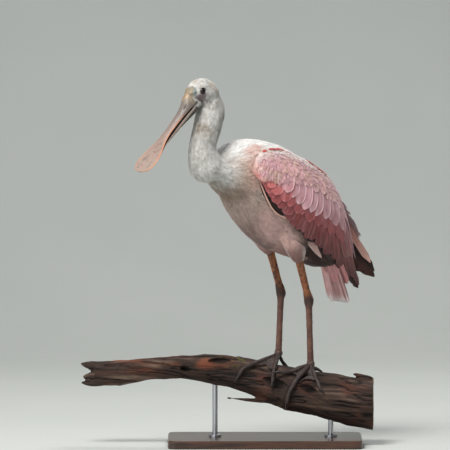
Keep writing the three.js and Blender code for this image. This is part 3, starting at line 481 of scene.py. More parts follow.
# Line through the middle of the bird, from the root of the bill to the tail
MIDLINE = np.array([
    (-172, 0, 597), (-160, 0, 603), (-147, 0, 607), (-134, 0, 606), (-125, 0, 597), (-121, 0, 580),
    (-123.7, 0, 559), (-128.3, 0, 542), (-134.5, 0, 526), (-137, 0, 512), (-133, 0, 497),
    (-120, 0, 483), (-98, 0, 474), (-70, 0, 469), (-40, 0, 461), (-12, 0, 446), (28, 0, 417),
    (64, 0, 390), (97, 0, 363), (124, 0, 338), (146, 0, 318), (170, 0, 280), (182, 0, 240),
], float)
MID_BLEND = 14.0
BATCH = 20000
MID_RUN = through(MIDLINE, 160)
MID_SLOPE = unit(np.gradient(MID_RUN, axis=0))
MID_LENGTH = np.concatenate([[0], np.cumsum(np.linalg.norm(np.diff(MID_RUN, axis=0), axis=1))])


def near_midline(points):
    """For each point: place on the middle line, the line's blended direction there, its point
    and the way up from it."""
    points = np.asarray(points, float)
    place = np.zeros(len(points))
    slope = np.zeros((len(points), 3))
    centre = np.zeros((len(points), 3))
    for start in range(0, len(points), BATCH):
        batch = slice(start, start + BATCH)
        d2 = ((points[batch, None] - MID_RUN[None]) ** 2).sum(-1)
        weight = np.exp(-(d2 - d2.min(1, keepdims=True)) / (2 * MID_BLEND**2))
        weight /= weight.sum(1, keepdims=True)
        place[batch] = weight @ MID_LENGTH
        slope[batch] = weight @ MID_SLOPE
        centre[batch] = weight @ MID_RUN
    slope = unit(slope)
    up = np.stack([-slope[:, 2], np.zeros(len(slope)), slope[:, 0]], 1)
    return place, slope, centre, up


def body_unwrap(points):
    """UV on an unwrap of the body: along the middle line, and round it."""
    place, _, centre, up = near_midline(points)
    away = points - centre
    angle = np.arctan2(away[:, 1], (away * up).sum(1))
    return np.stack([0.02 + 0.94 * place / MID_LENGTH[-1], 0.5 + 0.47 * angle / math.pi], 1)


def spot(points, x, z, rx, rz, tilt=0.0):
    """1 in the middle of an oval seen from the side, falling to 0 at its edge."""
    dx, dz = points[:, 0] - x, points[:, 2] - z
    c, s = math.cos(math.radians(tilt)), math.sin(math.radians(tilt))
    far = np.hypot((dx * c + dz * s) / rx, (-dx * s + dz * c) / rz)
    return 1 - smooth(far, 0.45, 1.0)


def face_mask(points):
    """1 on the bare skin before and under the eye, 0 on the feathered head."""
    x, z = points[:, 0], points[:, 2]
    lores = 1 - smooth(x + 0.3 * (z - 600), -160, -156)
    under = spot(points, -153, 595, 15, 15, 30)
    chin = 1 - smooth(x - 0.25 * (z - 585), -153, -147)
    crown = 1 - smooth(z - 0.45 * (x + 165), 616, 619)
    return np.clip(np.maximum(np.maximum(lores, under), chin * (z < 592)) * crown, 0, 1)


def body_tint(points, normals):
    """Colour of skin and small feathers at points of the head, neck and body."""
    x, y, z = points.T
    _, _, centre, up = near_midline(points)
    raised = (unit(points - centre) * up).sum(1)
    patch = layered(points, 16, 3)
    fleck = layered(points, 5, 5)
    colour = mix(WHITE, GREY_WHITE, 0.3 + 0.9 * fleck)
    # buff on the throat, crown and nape, dark grey under the gape; the nape also greyed as painted shade
    throat = spot(points, -154, 553, 16, 34, 68) * (0.5 + 0.7 * fleck)
    colour = mix(colour, BUFF, np.clip(throat, 0, 1) * 0.8)
    gular = spot(points, -153, 577, 14, 10, 20) * (0.8 + 0.4 * fleck)
    colour = mix(colour, FACE_DARK, np.clip(gular, 0, 1) * 0.85)
    crown = (spot(points, -130, 615, 15, 9, -20) + spot(points, -160, 622, 14, 5, 20)) * (0.45 + 0.8 * fleck)
    colour = mix(colour, BUFF_PALE, np.clip(crown, 0, 1) * 0.6)
    cheek = spot(points, -134, 590, 18, 13, -25) * np.clip(0.25 + 1.3 * layered(points, 3.2, 6), 0, 1)
    colour = mix(colour, CHEEK, cheek * 0.75)
    # painted shade: the back of the neck greyed
    nape = spot(points, -110, 590, 14, 34) * 0.45
    colour = mix(colour, GREY_WHITE, nape)
    # body: white back, buff and pinkish breast, mauve belly darkened by painted shade, and painted shade
    # under the tail
    back = smooth(raised + 0.12 * patch, 0.2, 0.62)
    rear = smooth(x - 0.4 * (z - 440), -70, 30)
    # sunk mixes in the belly's mauve and also paints shade on the downward-facing side
    sunk = 1 - smooth(raised + 0.12 * patch, -0.95, 0.05)
    body = mix(BREAST, BREAST_PINK, rear + 0.3 * patch)
    body = mix(body, BELLY, sunk * (0.35 + 0.6 * rear))
    # painted shade on the belly, in ripples like the shadows of feather tips
    ripple = noise(np.stack([x * 0.45 + 5 * patch, y * 0.4, z * 0.2 + 0.9 * x * 0.35], 1), 1.6, 9)
    dark = sunk * smooth(rear, 0.1, 0.8) * (0.65 + 0.6 * ripple)
    body = mix(body, BELLY_SHADE, np.clip(dark, 0, 0.95))
    # painted shade on the lowest part of the belly
    low = spot(points, 18, 338, 60, 24, -34) * (0.85 + 0.3 * ripple)
    body = mix(body, BELLY_SHADE, np.clip(low, 0, 0.9))
    flank = spot(points, -20, 388, 62, 30, -50)
    body = mix(body, FLANK, 0.8 * flank * (1 - back))
    body = mix(body, BACK_WHITE, back)
    shoulder = spot(points, -66, 482, 34, 50, -16) * (np.abs(y) > 25) * (0.8 + 0.5 * fleck)
    body = mix(body, SHOULDER, np.clip(shoulder, 0, 1) * 0.85)
    # painted shade on the underside under the tail
    under = smooth(x, 12, 50) * (1 - smooth(raised, -0.1, 0.35))
    body = mix(body, UNDER_SHADE, under * (0.75 + 0.2 * fleck))
    colour = mix(colour, body, smooth(x, -118, -92) * (z < 530))
    chest = spot(points, -112, 446, 52, 15, -24) * (0.6 + 0.7 * patch) * (raised < 0.15)
    colour = mix(colour, OLIVE, np.clip(chest, 0, 1) * 0.85)
    return np.clip(colour, 0, 1)


# Width of the line of the mouth
MOUTH_WIDTH = 1.6


def place_on_bill(points):
    """Place along the bill from the gape, and height over its mouth."""
    dx, dz = points[:, 0] - GAPE[0], points[:, 2] - GAPE[1]
    c, s = math.cos(BILL_PITCH), math.sin(BILL_PITCH)
    return -dx * c - dz * s, dz * c - dx * s


def mouth_line(points):
    """1 on the line of the mouth between the gape and the horn of the bill."""
    along, up = place_on_bill(points)
    near = smooth(along, -4, -1) * (1 - smooth(along, 16, 20)) * (np.abs(points[:, 1]) > 5)
    return np.exp(-((up - 0.5) / MOUTH_WIDTH) ** 2) * near


def below_mouth(points):
    """1 on the bare skin under the line of the mouth."""
    return 1 - smooth(place_on_bill(points)[1], -2.4, 0.2)


def face_tint(points):
    """Colour of the bare face."""
    fleck = layered(points, 4.0, 21)
    fine = layered(points, 2.0, 22)
    colour = mix(FACE_GREY, GREY_WHITE, 0.5 * fleck)
    buff = spot(points, -176, 604, 20, 19) * np.clip(0.5 + 1.2 * fine, 0, 1)
    colour = mix(colour, FACE_BUFF, buff)
    speck = smooth(layered(points, 1.6, 23), 0.15, 0.6)
    colour = mix(colour, CHEEK, 0.7 * speck)
    blue = spot(points, -163, 606, 8, 9) + 0.4 * spot(points, -168, 594, 7, 10, 45)
    colour = mix(colour, FACE_BLUE, np.clip(blue * (0.45 + 0.9 * fine), 0, 0.8))
    orange = (spot(points, -180, 603, 8, 8) + spot(points, -171, 600, 7, 8) + spot(points, -168, 593, 6, 6))
    colour = mix(colour, FACE_ORANGE, np.clip(orange * smooth(fine, -0.1, 0.6), 0, 0.65))
    purple = spot(points, -152, 598, 13, 14, 30)
    colour = mix(colour, FACE_PURPLE, np.clip(purple * (0.75 + 0.7 * fine), 0, 0.9))
    dark = spot(points, -153, 580, 20, 16, -45) * below_mouth(points) * (0.85 + 0.4 * fine)
    colour = mix(colour, CHIN_GREY, np.clip(dark, 0, 0.95))
    # painted shade in the crease along the line of the mouth
    return mix(colour, MOUTH_CREASE_SHADE, 1.4 * mouth_line(points))


# Materials

def new_material(name, roughness, specular=0.5, **values):
    """Material with values for its shader's sockets, their names written with _ for a space."""
    material = bpy.data.materials.new(name)
    material.use_nodes = True
    tree = material.node_tree
    shader = tree.nodes["Principled BSDF"]
    values.update(Roughness=roughness, Specular_IOR_Level=specular)
    for key, value in values.items():
        shader.inputs[key.replace("_", " ")].default_value = value
    return material, tree, shader


def node(tree, kind, **values):
    made = tree.nodes.new(kind)
    for key, value in values.items():
        if hasattr(made, key):
            setattr(made, key, value)
        else:
            made.inputs[key.replace("_", " ")].default_value = value
    return made


def math_node(tree, operation, first, second=None, third=None):
    made = tree.nodes.new("ShaderNodeMath")
    made.operation = operation
    for socket, value in zip(made.inputs, (first, second, third)):
        if value is None:
            continue
        if isinstance(value, (int, float)):
            socket.default_value = value
        else:
            tree.links.new(value, socket)
    return made.outputs[0]


def shaded(tree, shader, colour, level):
    """Base colour from a colour that a level makes lighter and darker."""
    scale = node(tree, "ShaderNodeVectorMath", operation="SCALE")
    tree.links.new(colour, scale.inputs[0])
    tree.links.new(level, scale.inputs["Scale"])
    tree.links.new(scale.outputs[0], shader.inputs["Base Color"])
    return scale.outputs[0]


def tint_and_variation(tree, shader, size, amount):
    """Base colour from the Tint of the points, varied by fine noise; also the place and noise."""
    tint = node(tree, "ShaderNodeAttribute", attribute_name="Tint")
    place = tree.nodes.new("ShaderNodeTexCoord").outputs["Object"]
    cloud = node(tree, "ShaderNodeTexNoise", Scale=1000 / size, Detail=4.0, Roughness=0.6)
    tree.links.new(place, cloud.inputs["Vector"])
    level = math_node(tree, "MULTIPLY_ADD", cloud.outputs["Fac"], 2 * amount, 1 - amount)
    return place, cloud.outputs["Fac"], shaded(tree, shader, tint.outputs["Color"], level)


def cell_distance(tree, place, **values):
    """Distance inside the cells of a pattern."""
    cells = node(tree, "ShaderNodeTexVoronoi", **values)
    tree.links.new(place, cells.inputs["Vector"])
    return cells.outputs["Distance"]


def stretched_noise(tree, stretch, **values):
    """Noise over the object, drawn out along the axes with a small stretch."""
    place = tree.nodes.new("ShaderNodeTexCoord")
    mapping = node(tree, "ShaderNodeMapping", Scale=stretch)
    grain = node(tree, "ShaderNodeTexNoise", **values)
    tree.links.new(place.outputs["Object"], mapping.inputs["Vector"])
    tree.links.new(mapping.outputs["Vector"], grain.inputs["Vector"])
    return grain.outputs["Fac"]


def two_tones(tree, shader, level, low, high, reach=(0.0, 1.0)):
    """Base colour that runs from one tone to the other while the level crosses its reach."""
    ramp = tree.nodes.new("ShaderNodeValToRGB")
    for element, place, tone in zip(ramp.color_ramp.elements, reach, (low, high)):
        element.position = place
        element.color = (*tone, 1)
    tree.links.new(level, ramp.inputs["Fac"])
    tree.links.new(ramp.outputs["Color"], shader.inputs["Base Color"])


def bump(tree, shader, height, strength, distance):
    made = node(tree, "ShaderNodeBump", Strength=strength, Distance=distance)
    tree.links.new(height, made.inputs["Height"])
    tree.links.new(made.outputs["Normal"], shader.inputs["Normal"])


def skin_material():
    material, tree, shader = new_material("bird_skin", 0.6)
    place, cloud, _ = tint_and_variation(tree, shader, 3.0, 0.1)
    cells = cell_distance(tree, place, Scale=900.0, feature="DISTANCE_TO_EDGE")
    bump(tree, shader, math_node(tree, "MULTIPLY_ADD", cells, 0.6, cloud), 0.35, 0.0006)
    return material


BARB_SLANT = -1.25
BARB_WOBBLE = 0.05
SHAFT_WIDTH = 0.02


def plumage_material(name, barbs, strength, roughness=0.72):
    """Feather finish: the Vane map holds the place across and along each feather."""
    material, tree, shader = new_material(name, roughness, 0.3, Sheen_Weight=0.22, Sheen_Roughness=0.45)
    _, cloud, tint = tint_and_variation(tree, shader, 2.2, 0.09)
    vane = node(tree, "ShaderNodeUVMap", uv_map="Vane")
    split = tree.nodes.new("ShaderNodeSeparateXYZ")
    tree.links.new(vane.outputs["UV"], split.inputs[0])
    away = math_node(tree, "ABSOLUTE", split.outputs["X"])
    wobble = math_node(tree, "MULTIPLY", cloud, BARB_WOBBLE)
    run = math_node(tree, "MULTIPLY_ADD", away, BARB_SLANT, split.outputs["Y"])
    run = math_node(tree, "ADD", run, wobble)
    wave = math_node(tree, "SINE", math_node(tree, "MULTIPLY", run, barbs * 2 * math.pi))
    shaft = math_node(tree, "LESS_THAN", away, SHAFT_WIDTH)
    height = math_node(tree, "MULTIPLY_ADD", wave, 0.5, math_node(tree, "MULTIPLY", shaft, 2.0))
    bump(tree, shader, height, strength, 0.0004)
    # barbs are a little darker in their furrows, as painted shade
    shaded(tree, shader, tint, math_node(tree, "MULTIPLY_ADD", wave, 0.045, 0.955))
    return material


SKIN = skin_material()
DOWN = plumage_material("body_feathers", 12.0, 0.25)
QUILL = plumage_material("wing_feathers", 9.0, 0.4, 0.6)


# Skin: one surface over the head, neck, body and thighs, inside the coat

COAT_DEPTH = {"head": 1.0, "neck": 2.0, "torso": 4.5, "thigh": 3.0}
VOXELS = {"skin": 1.6, "perch": 1.35, "foot": 0.6}
SPACING = {"head": 0.8, "neck": 1.2, "body": 2.1, "thigh": 1.7}
OFF_MIDDLE = 5
# Relief of the head's two sides: height, then x, z, half sizes and tilt of its oval
HEAD_RELIEF = [
    (0.9, -152, 617, 14, 5, 12),
    (-0.9, -164, 603, 11, 4, 25),
    (0.8, -150, 588, 14, 4.5, 35),
    (-1.3, -131, 600, 5, 3.5, 40),
]


def union_by_voxels(name, parts, voxel, smoothing):
    """One closed surface round overlapping closed parts."""
    points, faces = [], []
    for part_points, part_faces in parts:
        start = len(points)
        points += part_points
        faces += [tuple(i + start for i in face) for face in part_faces]
    mesh = bpy.data.meshes.new(name)
    mesh.from_pydata([tuple(p) for p in points], [], faces)
    made = bpy.data.objects.new(name, mesh)
    bpy.context.scene.collection.objects.link(made)
    remesh = made.modifiers.new("union", "REMESH")
    remesh.mode = "VOXEL"
    remesh.voxel_size = voxel
    soft = made.modifiers.new("soft", "SMOOTH")
    soft.factor = 0.5
    soft.iterations = smoothing
    bpy.context.view_layer.update()
    shaped = made.evaluated_get(bpy.context.evaluated_depsgraph_get()).to_mesh()
    co = np.zeros(len(shaped.vertices) * 3, np.float32)
    shaped.vertices.foreach_get("co", co)
    loops = np.zeros(len(shaped.loops), np.int32)
    shaped.loops.foreach_get("vertex_index", loops)
    quads = loops.reshape(-1, 4)
    bpy.data.objects.remove(made)
    bpy.data.meshes.remove(mesh)
    return co.reshape(-1, 3).astype(float), quads


def inset_torso():
    """The torso under its coat, which is thinner where the torso is."""
    rows = through(TORSO, 60)
    depth = np.minimum(COAT_DEPTH["torso"], rows[:, 2] * 0.4)
    rows[:, 2] -= depth
    rows[:, 3] -= depth
    return closed_loft(middle_rings(rows, 56))


def point_normals(points, quads):
    """Smooth normals of a quad mesh."""
    a, b, c, d = (points[quads[:, k]] for k in range(4))
    face = np.cross(c - a, d - b)
    normals = np.zeros_like(points)
    for k in range(4):
        np.add.at(normals, quads[:, k], face)
    return unit(normals)


def sculpt_head(points, normals):
    """Brow, eye hollow, lore furrow, jaw fold and ear dimple on the skin of the head."""
    moved = points.copy()
    side = np.sign(points[:, 1])
    eye = np.stack([np.full(len(points), EYE[0]), side * 16.5, np.full(len(points), EYE[2])], 1)
    far = np.linalg.norm(points - eye, axis=1)
    head = (points[:, 2] > 575) & (points[:, 0] < -112)
    lift = 1.1 * np.exp(-((far - 8.5) / 2.4) ** 2) - 1.6 * np.exp(-(far / EYE_RADIUS) ** 2)
    for height, *oval in HEAD_RELIEF:
        lift += height * spot(points, *oval)
    lift *= np.abs(points[:, 1]) > OFF_MIDDLE
    # the forehead is full down to the horn of the bill
    lift += 1.6 * spot(points, -171, 610, 12, 10)
    lift -= 1.6 * mouth_line(points)
    moved += normals * (lift * head)[:, None]
    return moved


def soften(points, quads, weight, rounds):
    """Smooth the surface where weight is above 0."""
    around = np.zeros(len(points))
    for k in range(4):
        np.add.at(around, quads[:, k], 2)
    for _ in range(rounds):
        total = np.zeros_like(points)
        for k in range(4):
            np.add.at(total, quads[:, k], points[quads[:, k - 1]] + points[quads[:, (k + 1) % 4]])
        points = points + (total / around[:, None] - points) * weight[:, None]
    return points


def skin_points():
    """Union of the insets of torso, neck, head, face, thighs and wings, soft at the nape."""
    head = through(HEAD, 40)
    neck = through(NECK, 60)
    head[:, 2:] = np.maximum(head[:, 2:] - COAT_DEPTH["head"], 2)
    neck[:, 2:] = np.maximum(neck[:, 2:] - COAT_DEPTH["neck"], 2)
    parts = [
        inset_torso(),
        closed_loft(middle_rings(neck, 48)),
        closed_loft(middle_rings(head, 48)),
        closed_loft(face_root()),
    ]
    t = np.linspace(0, 1, 14)
    radii = np.interp(t, np.linspace(0, 1, len(THIGH_RADII)), THIGH_RADII) - COAT_DEPTH["thigh"]
    parts += [closed_loft(tube_rings(spline(path, t), radii, 28, wide=0.8)) for path in THIGHS.values()]
    parts += [wing_core(name) for name in WINGS]
    points, quads = union_by_voxels("skin_union", parts, VOXELS["skin"], 6)
    nape = np.exp(-(np.linalg.norm((points - [-104, 0, 482]) / [24, 60, 30], axis=1)) ** 2)
    return soften(points, quads, 0.9 * smooth(nape, 0.2, 0.6), 60), quads


def face_root():
    """Where the bill grows out of the head, above and below the mouth."""
    rows = through(BILL, 80)
    rows = rows[rows[:, 0] < 10]
    angle = np.linspace(0, 2 * math.pi, 40, endpoint=False)
    rings = []
    for along, wide, rise, drop, bend in rows:
        shrink = 0.9 - 0.08 * (along + 6) / 16
        up = np.where(np.sin(angle) > 0, rise, drop) * np.sin(angle) * shrink
        rings.append(bill_point(along, np.cos(angle) * wide * shrink, up))
    return np.array(rings)


# Small feathers of the head, neck, body and thighs

class Surface:
    """Nearest points and smooth normals on the skin."""

    def __init__(self, points, quads):
        self.points, self.quads = points, quads
        self.normals = point_normals(points, quads)
        self.tree = BVHTree.FromPolygons([Vector(p) for p in points], quads.tolist())

    def nearest(self, points):
        spots, normals = np.zeros((len(points), 3)), np.zeros((len(points), 3))
        for i, p in enumerate(points):
            spots[i], _, index, _ = self.tree.find_nearest(Vector(p))
            corners = self.quads[index]
            away = np.linalg.norm(self.points[corners] - spots[i], axis=1)
            weight = 1 / (away + 0.2)
            normals[i] = (self.normals[corners] * weight[:, None]).sum(0)
        return spots, unit(normals)


TRIES = 3
CLOSEST = 0.8


def roots_on(surface, spacing, seed, keep):
    """Roots spread evenly over the faces that keep allows, about a spacing apart."""
    rng = np.random.default_rng(seed)
    p, q = surface.points, surface.quads
    q = q[keep(p[q].mean(1))]
    area = np.linalg.norm(np.cross(p[q[:, 2]] - p[q[:, 0]], p[q[:, 3]] - p[q[:, 1]]), axis=1) / 2
    count = int(area.sum() / spacing**2 * TRIES)
    face = rng.choice(len(q), count, p=area / area.sum())
    a, b = rng.random(count)[:, None], rng.random(count)[:, None]
    corner = p[q[face]]
    spots = ((corner[:, 0] * (1 - a) + corner[:, 1] * a) * (1 - b)
             + (corner[:, 3] * (1 - a) + corner[:, 2] * a) * b)
    kept, cells = [], {}
    limit = (CLOSEST * spacing) ** 2
    keys = np.floor(spots / spacing).astype(int).tolist()
    for i, key in enumerate(keys):
        around = itertools.product(*((k - 1, k, k + 1) for k in key))
        others = (other for cell in around for other in cells.get(cell, ()))
        if not any(((spots[other] - spots[i]) ** 2).sum() < limit for other in others):
            kept.append(i)
            cells.setdefault(tuple(key), []).append(i)
    return spots[kept]


COAT_RISE = 0.8


def lying_spines(surface, roots, lie, length, depth, steps):
    """Spines that run over the skin from their roots and rise to the depth of the coat."""
    here, normal = surface.nearest(roots)
    spines = np.zeros((len(roots), steps + 1, 3))
    normals = np.zeros((len(roots), steps + 1, 3))
    for k in range(steps + 1):
        spines[:, k] = here + normal * (depth * (0.12 + 0.88 * (k / steps) ** COAT_RISE))[:, None]
        normals[:, k] = normal
        if k == steps:
            break
        way = lie(here, normal)
        way = unit(way - (way * normal).sum(1, keepdims=True) * normal)
        here, normal = surface.nearest(here + way * (length / steps)[:, None])
    return spines, normals


BARB_SPREAD = 0.25
BARB_TAPER = 0.85
BARB_CUP = 0.25


def tufts(spines, normals, half, barbs, seed):
    """Small feathers as fans of tapering barbs, each a strip along its spine."""
    rng = np.random.default_rng(seed)
    n, rows = spines.shape[:2]
    along = unit(np.gradient(spines, axis=1))
    across = unit(np.cross(along, normals))
    t = np.linspace(0, 1, rows)
    widen = (0.25 + 0.75 * np.sin(np.pi * np.clip(t * 0.62 + 0.06, 0, 1)) ** 0.8)
    index = np.arange(n)[:, None]
    points, lanes = [], []
    for j in range(barbs):
        lane = (j + 0.5) / barbs * 2 - 1
        reach = 1 - BARB_SPREAD * lane**2 + 0.14 * (rng.random(n) - 0.5)
        sway = 0.16 * (rng.random(n) - 0.5)
        width = 1.25 / barbs * (1 - BARB_TAPER * t**2.5)
        place = np.clip(t[None] * reach[:, None], 0, 1) * (rows - 1)
        i = np.minimum(place.astype(int), rows - 2)
        f = (place - i)[..., None]
        base = spines[index, i] * (1 - f) + spines[index, i + 1] * f
        for edge in (-1, 1):
            where = (lane * widen[None] + sway[:, None] * t[None] ** 2 + edge * width[None])
            cup = -BARB_CUP * where**2
            points.append(base + across[index, i] * (where * half[:, None])[..., None]
                          + normals[index, i] * (cup * half[:, None])[..., None])
            lanes.append(where)
    wide = 2 * barbs
    first = (np.arange(rows - 1)[None] * wide + np.arange(0, wide, 2)[:, None]).reshape(-1, 1)
    quads = first + np.array([0, 1, 1 + wide, wide])
    quads = (np.arange(n)[:, None, None] * rows * wide + quads[None]).reshape(-1, 4)
    run = np.tile(np.repeat(t, wide), n)
    return np.stack(points, 2).reshape(-1, 3), quads, np.stack(lanes, 2).reshape(-1), run


ROOT_PATCH = 0.003
MAP_EDGE = 0.001
VANE_MAP_SIZE = 200


def patch_uvs(root_uv, across, t):
    """A feather's patch of the OFBake map, laid at its root's place on the unwrap."""
    patch = np.stack([across * 0.5, t - 0.5], 1) * ROOT_PATCH
    return np.clip(root_uv + patch, MAP_EDGE, 1 - MAP_EDGE)


def coat_piece(name, surface, roots, lie, length, depth, half, barbs, steps, colour, seed,
               contrast=0.2, unwrap=None):
    """One piece of the small-feather coat, with colours and maps."""
    rng = np.random.default_rng(seed)
    n = len(roots)
    length = length * (0.85 + 0.3 * rng.random(n))
    spines, normals = lying_spines(surface, roots, lie, length, depth * (0.8 + 0.4 * rng.random(n)), steps)
    half = np.asarray(half) * (0.85 + 0.3 * rng.random(n))
    points, faces, lanes, t = tufts(spines, normals, half, barbs, seed + 1)
    per = (steps + 1) * 2 * barbs
    tint = np.repeat(colour(roots, normals[:, 0]), per, axis=0)
    shade = np.repeat(1.04 - contrast * rng.random(n), per)
    shade = shade * (0.72 + 0.3 * smooth(t, 0.05, 0.75))
    tint = np.clip(tint * shade[:, None], 0, 1)
    vane = np.stack([lanes * np.repeat(half, per), t * np.repeat(length, per)], 1) / VANE_MAP_SIZE
    root_uv = np.repeat(body_unwrap(roots) if unwrap is None else unwrap, per, axis=0)
    bake = patch_uvs(root_uv, np.clip(lanes / 1.6, -1, 1), t)
    corners = faces.ravel()
    maps = {"OFBake": bake[corners], "Vane": vane[corners]}
    return make_piece(name, points, faces, DOWN, tint, maps)


skin_xyz, skin_quads = skin_points()
skin_normal = point_normals(skin_xyz, skin_quads)
skin_xyz = sculpt_head(skin_xyz, skin_normal)
BODY = Surface(skin_xyz, skin_quads)
FACE = face_mask(skin_xyz)
skin_tint = mix(body_tint(skin_xyz, BODY.normals) * 0.8, face_tint(skin_xyz), FACE * (skin_xyz[:, 0] < -135))
skin_uv = body_unwrap(skin_xyz)[skin_quads.ravel()]
skin = make_piece("body_skin", skin_xyz, skin_quads, SKIN, skin_tint, {"OFBake": skin_uv})
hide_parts("head", "neck_upper", "neck_lower", "torso", "thigh_left", "thigh_right")


def wing_cover():
    """Ray targets: the outer faces of both folded wings."""
    trees = []
    for wing in WINGS.values():
        u, v = np.meshgrid(np.linspace(0, 0.97, 40), np.linspace(0.03, 0.93, 24), indexing="ij")
        points = wing.at(u, v, 2.0).reshape(-1, 3)
        trees.append(BVHTree.FromPolygons([Vector(p) for p in points], grid_faces(40, 24).tolist()))
    return trees


COVERS = wing_cover()
WING_REACH = 45.0
EYE_CLEARANCE = 8.4
MOST_FEATHERS = 9000


def under_wing(points, normals):
    """True where a folded wing lies over the skin."""
    return np.array([
        any(tree.ray_cast(Vector(p + 0.5 * n), Vector(n), WING_REACH)[0] is not None for tree in COVERS)
        for p, n in zip(points, normals)
    ])


def body_lie(points, normals):
    """Feathers point along the body, away from the bill, and sag on the belly."""
    slope = near_midline(points)[1]
    wave = 0.16 * noise(points, 14, 41) + 0.22 * noise(points, 5, 42)
    side = unit(np.cross(slope, normals))
    return slope + side * wave[:, None]


def thigh_lie(points, normals):
    """Feathers of the thighs point down and a little back."""
    return np.array([0.25, 0.0, -1.0]) + 0.2 * noise(points, 7, 43)[:, None]


def on_thigh(points):
    """Under the slanting line where the thighs leave the belly."""
    x, y, z = points.T
    below = 364 - 0.62 * (x - 10)
    return (z < np.minimum(below, 366)) & (x < 75) & (np.abs(y) < 75) & (x > -5)


def on_head(points):
    return (points[:, 0] < -100) & (points[:, 2] > 574 - 0.4 * (points[:, 0] + 122))


def on_neck(points):
    return (points[:, 0] < -92) & ~on_head(points) & (points[:, 2] > 470)


def on_body(points):
    return ~on_head(points) & ~on_neck(points) & ~on_thigh(points)


def on_feathered_head(points):
    """The head without its bare face and the ring round each eye."""
    off_eye = np.hypot(points[:, 0] - EYE[0], points[:, 2] - EYE[2]) >= EYE_CLEARANCE
    return on_head(points) & (face_mask(points) < 0.5) & off_eye


def head_coat():
    roots = roots_on(BODY, SPACING["head"], 11, on_feathered_head)
    nape = spot(roots, -102, 582, 17, 22)
    length = 4.2 + 2.6 * smooth(roots[:, 0], -150, -115) + 6.5 * nape
    depth = 0.9 + 1.6 * nape + 0.3 * smooth(roots[:, 0], -150, -115)
    coat_piece("head_feathers", BODY, roots, body_lie, length, depth, 0.75 + 0.5 * nape, 3, 2,
               body_tint, 12, contrast=0.3)


def neck_coat():
    roots = roots_on(BODY, SPACING["neck"], 21, on_neck)
    low = 1 - smooth(roots[:, 2], 480, 530)
    length = 9 + 6 * low
    depth = 2.0 + 1.6 * low
    coat_piece("neck_feathers", BODY, roots, body_lie, length, depth, 1.3 + 0.7 * low, 4, 3, body_tint, 22,
               contrast=0.32)


def body_coat():
    roots = roots_on(BODY, SPACING["body"], 31, on_body)
    roots = roots[~under_wing(roots, BODY.nearest(roots)[1])]
    roots = roots[np.argsort(roots[:, 0])]
    parts = 2 if len(roots) > MOST_FEATHERS else 1
    for k, piece in enumerate(np.array_split(roots, parts)):
        rear = smooth(piece[:, 0], -60, 80)
        coat_piece(f"body_feathers_{k + 1}", BODY, piece, body_lie, 15 + 7 * rear, 4.2 + rear,
                   2.5 + 0.9 * rear, 5, 3, body_tint, 32 + k, contrast=0.32)


def thigh_tint(points, normals):
    """Mauve pink with a painted highlight along the edges in front and behind."""
    fleck = layered(points, 7, 51)
    high = smooth(points[:, 2], 330, 372)
    colour = mix(THIGH, FLANK, high)
    # the painted highlight lies on the edges of the model as it stands, not along the turned bird
    facing = to_world(normals) - BIRD_SHIFT
    edge = smooth(np.abs(facing[:, 0]), 0.6, 0.9) * (1 - high)
    colour = mix(colour, THIGH_RIM_LIGHT, edge * (0.9 + 0.3 * fleck))
    return np.clip(colour * (1 + 0.14 * fleck)[:, None], 0, 1)


def thigh_coat():
    roots = roots_on(BODY, SPACING["thigh"], 61, on_thigh)
    length = np.full(len(roots), 12.0)
    depth = np.full(len(roots), 2.6)
    coat_piece("thigh_feathers", BODY, roots, thigh_lie, length, depth, 2.0, 5, 3, thigh_tint, 62)


head_coat()
neck_coat()
body_coat()
thigh_coat()


# Large feathers: cupped vanes with a shaft, two faces and frayed tips

VANE_COLUMNS = 9


ROOT_WIDTH = 0.45
VANE_THICKNESS = 0.45


def vane_profile(t, round_tip):
    """Half width along a vane, from its root to its rounded tip."""
    tip = np.sqrt(np.clip(1 - (np.clip(t - (1 - round_tip), 0, 1) / round_tip) ** 2, 0.015, 1))
    return (ROOT_WIDTH + (1 - ROOT_WIDTH) * smooth(t, 0, 0.3)) * tip


def vanes(spines, normals, half, cup, seed, round_tip):
    """Grids for feathers: points, quads, place across (-1 to 1), place along and the feather's number."""
    rng = np.random.default_rng(seed)
    n, rows = spines.shape[:2]
    columns = VANE_COLUMNS
    along = unit(np.gradient(spines, axis=1))
    across = unit(np.cross(along, normals))
    up = unit(np.cross(across, along))
    t = np.linspace(0, 1, rows)
    c = np.linspace(-1, 1, columns)
    profile = vane_profile(t, round_tip)[None, :, None]
    fray = 0.11 * (rng.random((n, 1, columns)) - 0.5) * smooth(t, 0.7, 1)[None, :, None]
    half = half[:, None, None]
    high = -cup * (c**2)[None, None] * profile
    wave = 0.22 * np.sin(c[None, None] * 5 + 9 * t[None, :, None] + 6 * rng.random((n, 1, 1)))
    top = (spines[:, :, None] + across[:, :, None] * (half * profile * c)[..., None]
           + along[:, :, None] * (half * fray)[..., None]
           + up[:, :, None] * (high + wave * profile)[..., None])
    thin_edge = (0.15 + 0.85 * (1 - np.abs(c) ** 6))[None, None]
    thin_tip = (0.25 + 0.75 * (1 - smooth(t, 0.85, 1)))[None, :, None]
    under = top - up[:, :, None] * (VANE_THICKNESS * thin_edge * thin_tip)[..., None]
    cells = rows * columns
    quads = grid_faces(rows, columns)
    loop = grid_rim(rows, columns)
    ahead = np.roll(loop, -1)
    rim_faces = np.stack([ahead, loop, loop + cells, ahead + cells], 1)
    faces = np.concatenate([quads, quads[:, ::-1] + cells, rim_faces])
    faces = (np.arange(n)[:, None, None] * 2 * cells + faces[None]).reshape(-1, 4)
    points = np.stack([top.reshape(n, cells, 3), under.reshape(n, cells, 3)], 1).reshape(-1, 3)
    place = np.tile(np.tile(c, rows), 2 * n)
    run = np.tile(np.repeat(t, columns), 2 * n)
    return points, faces, place, run, np.repeat(np.arange(n), 2 * cells)


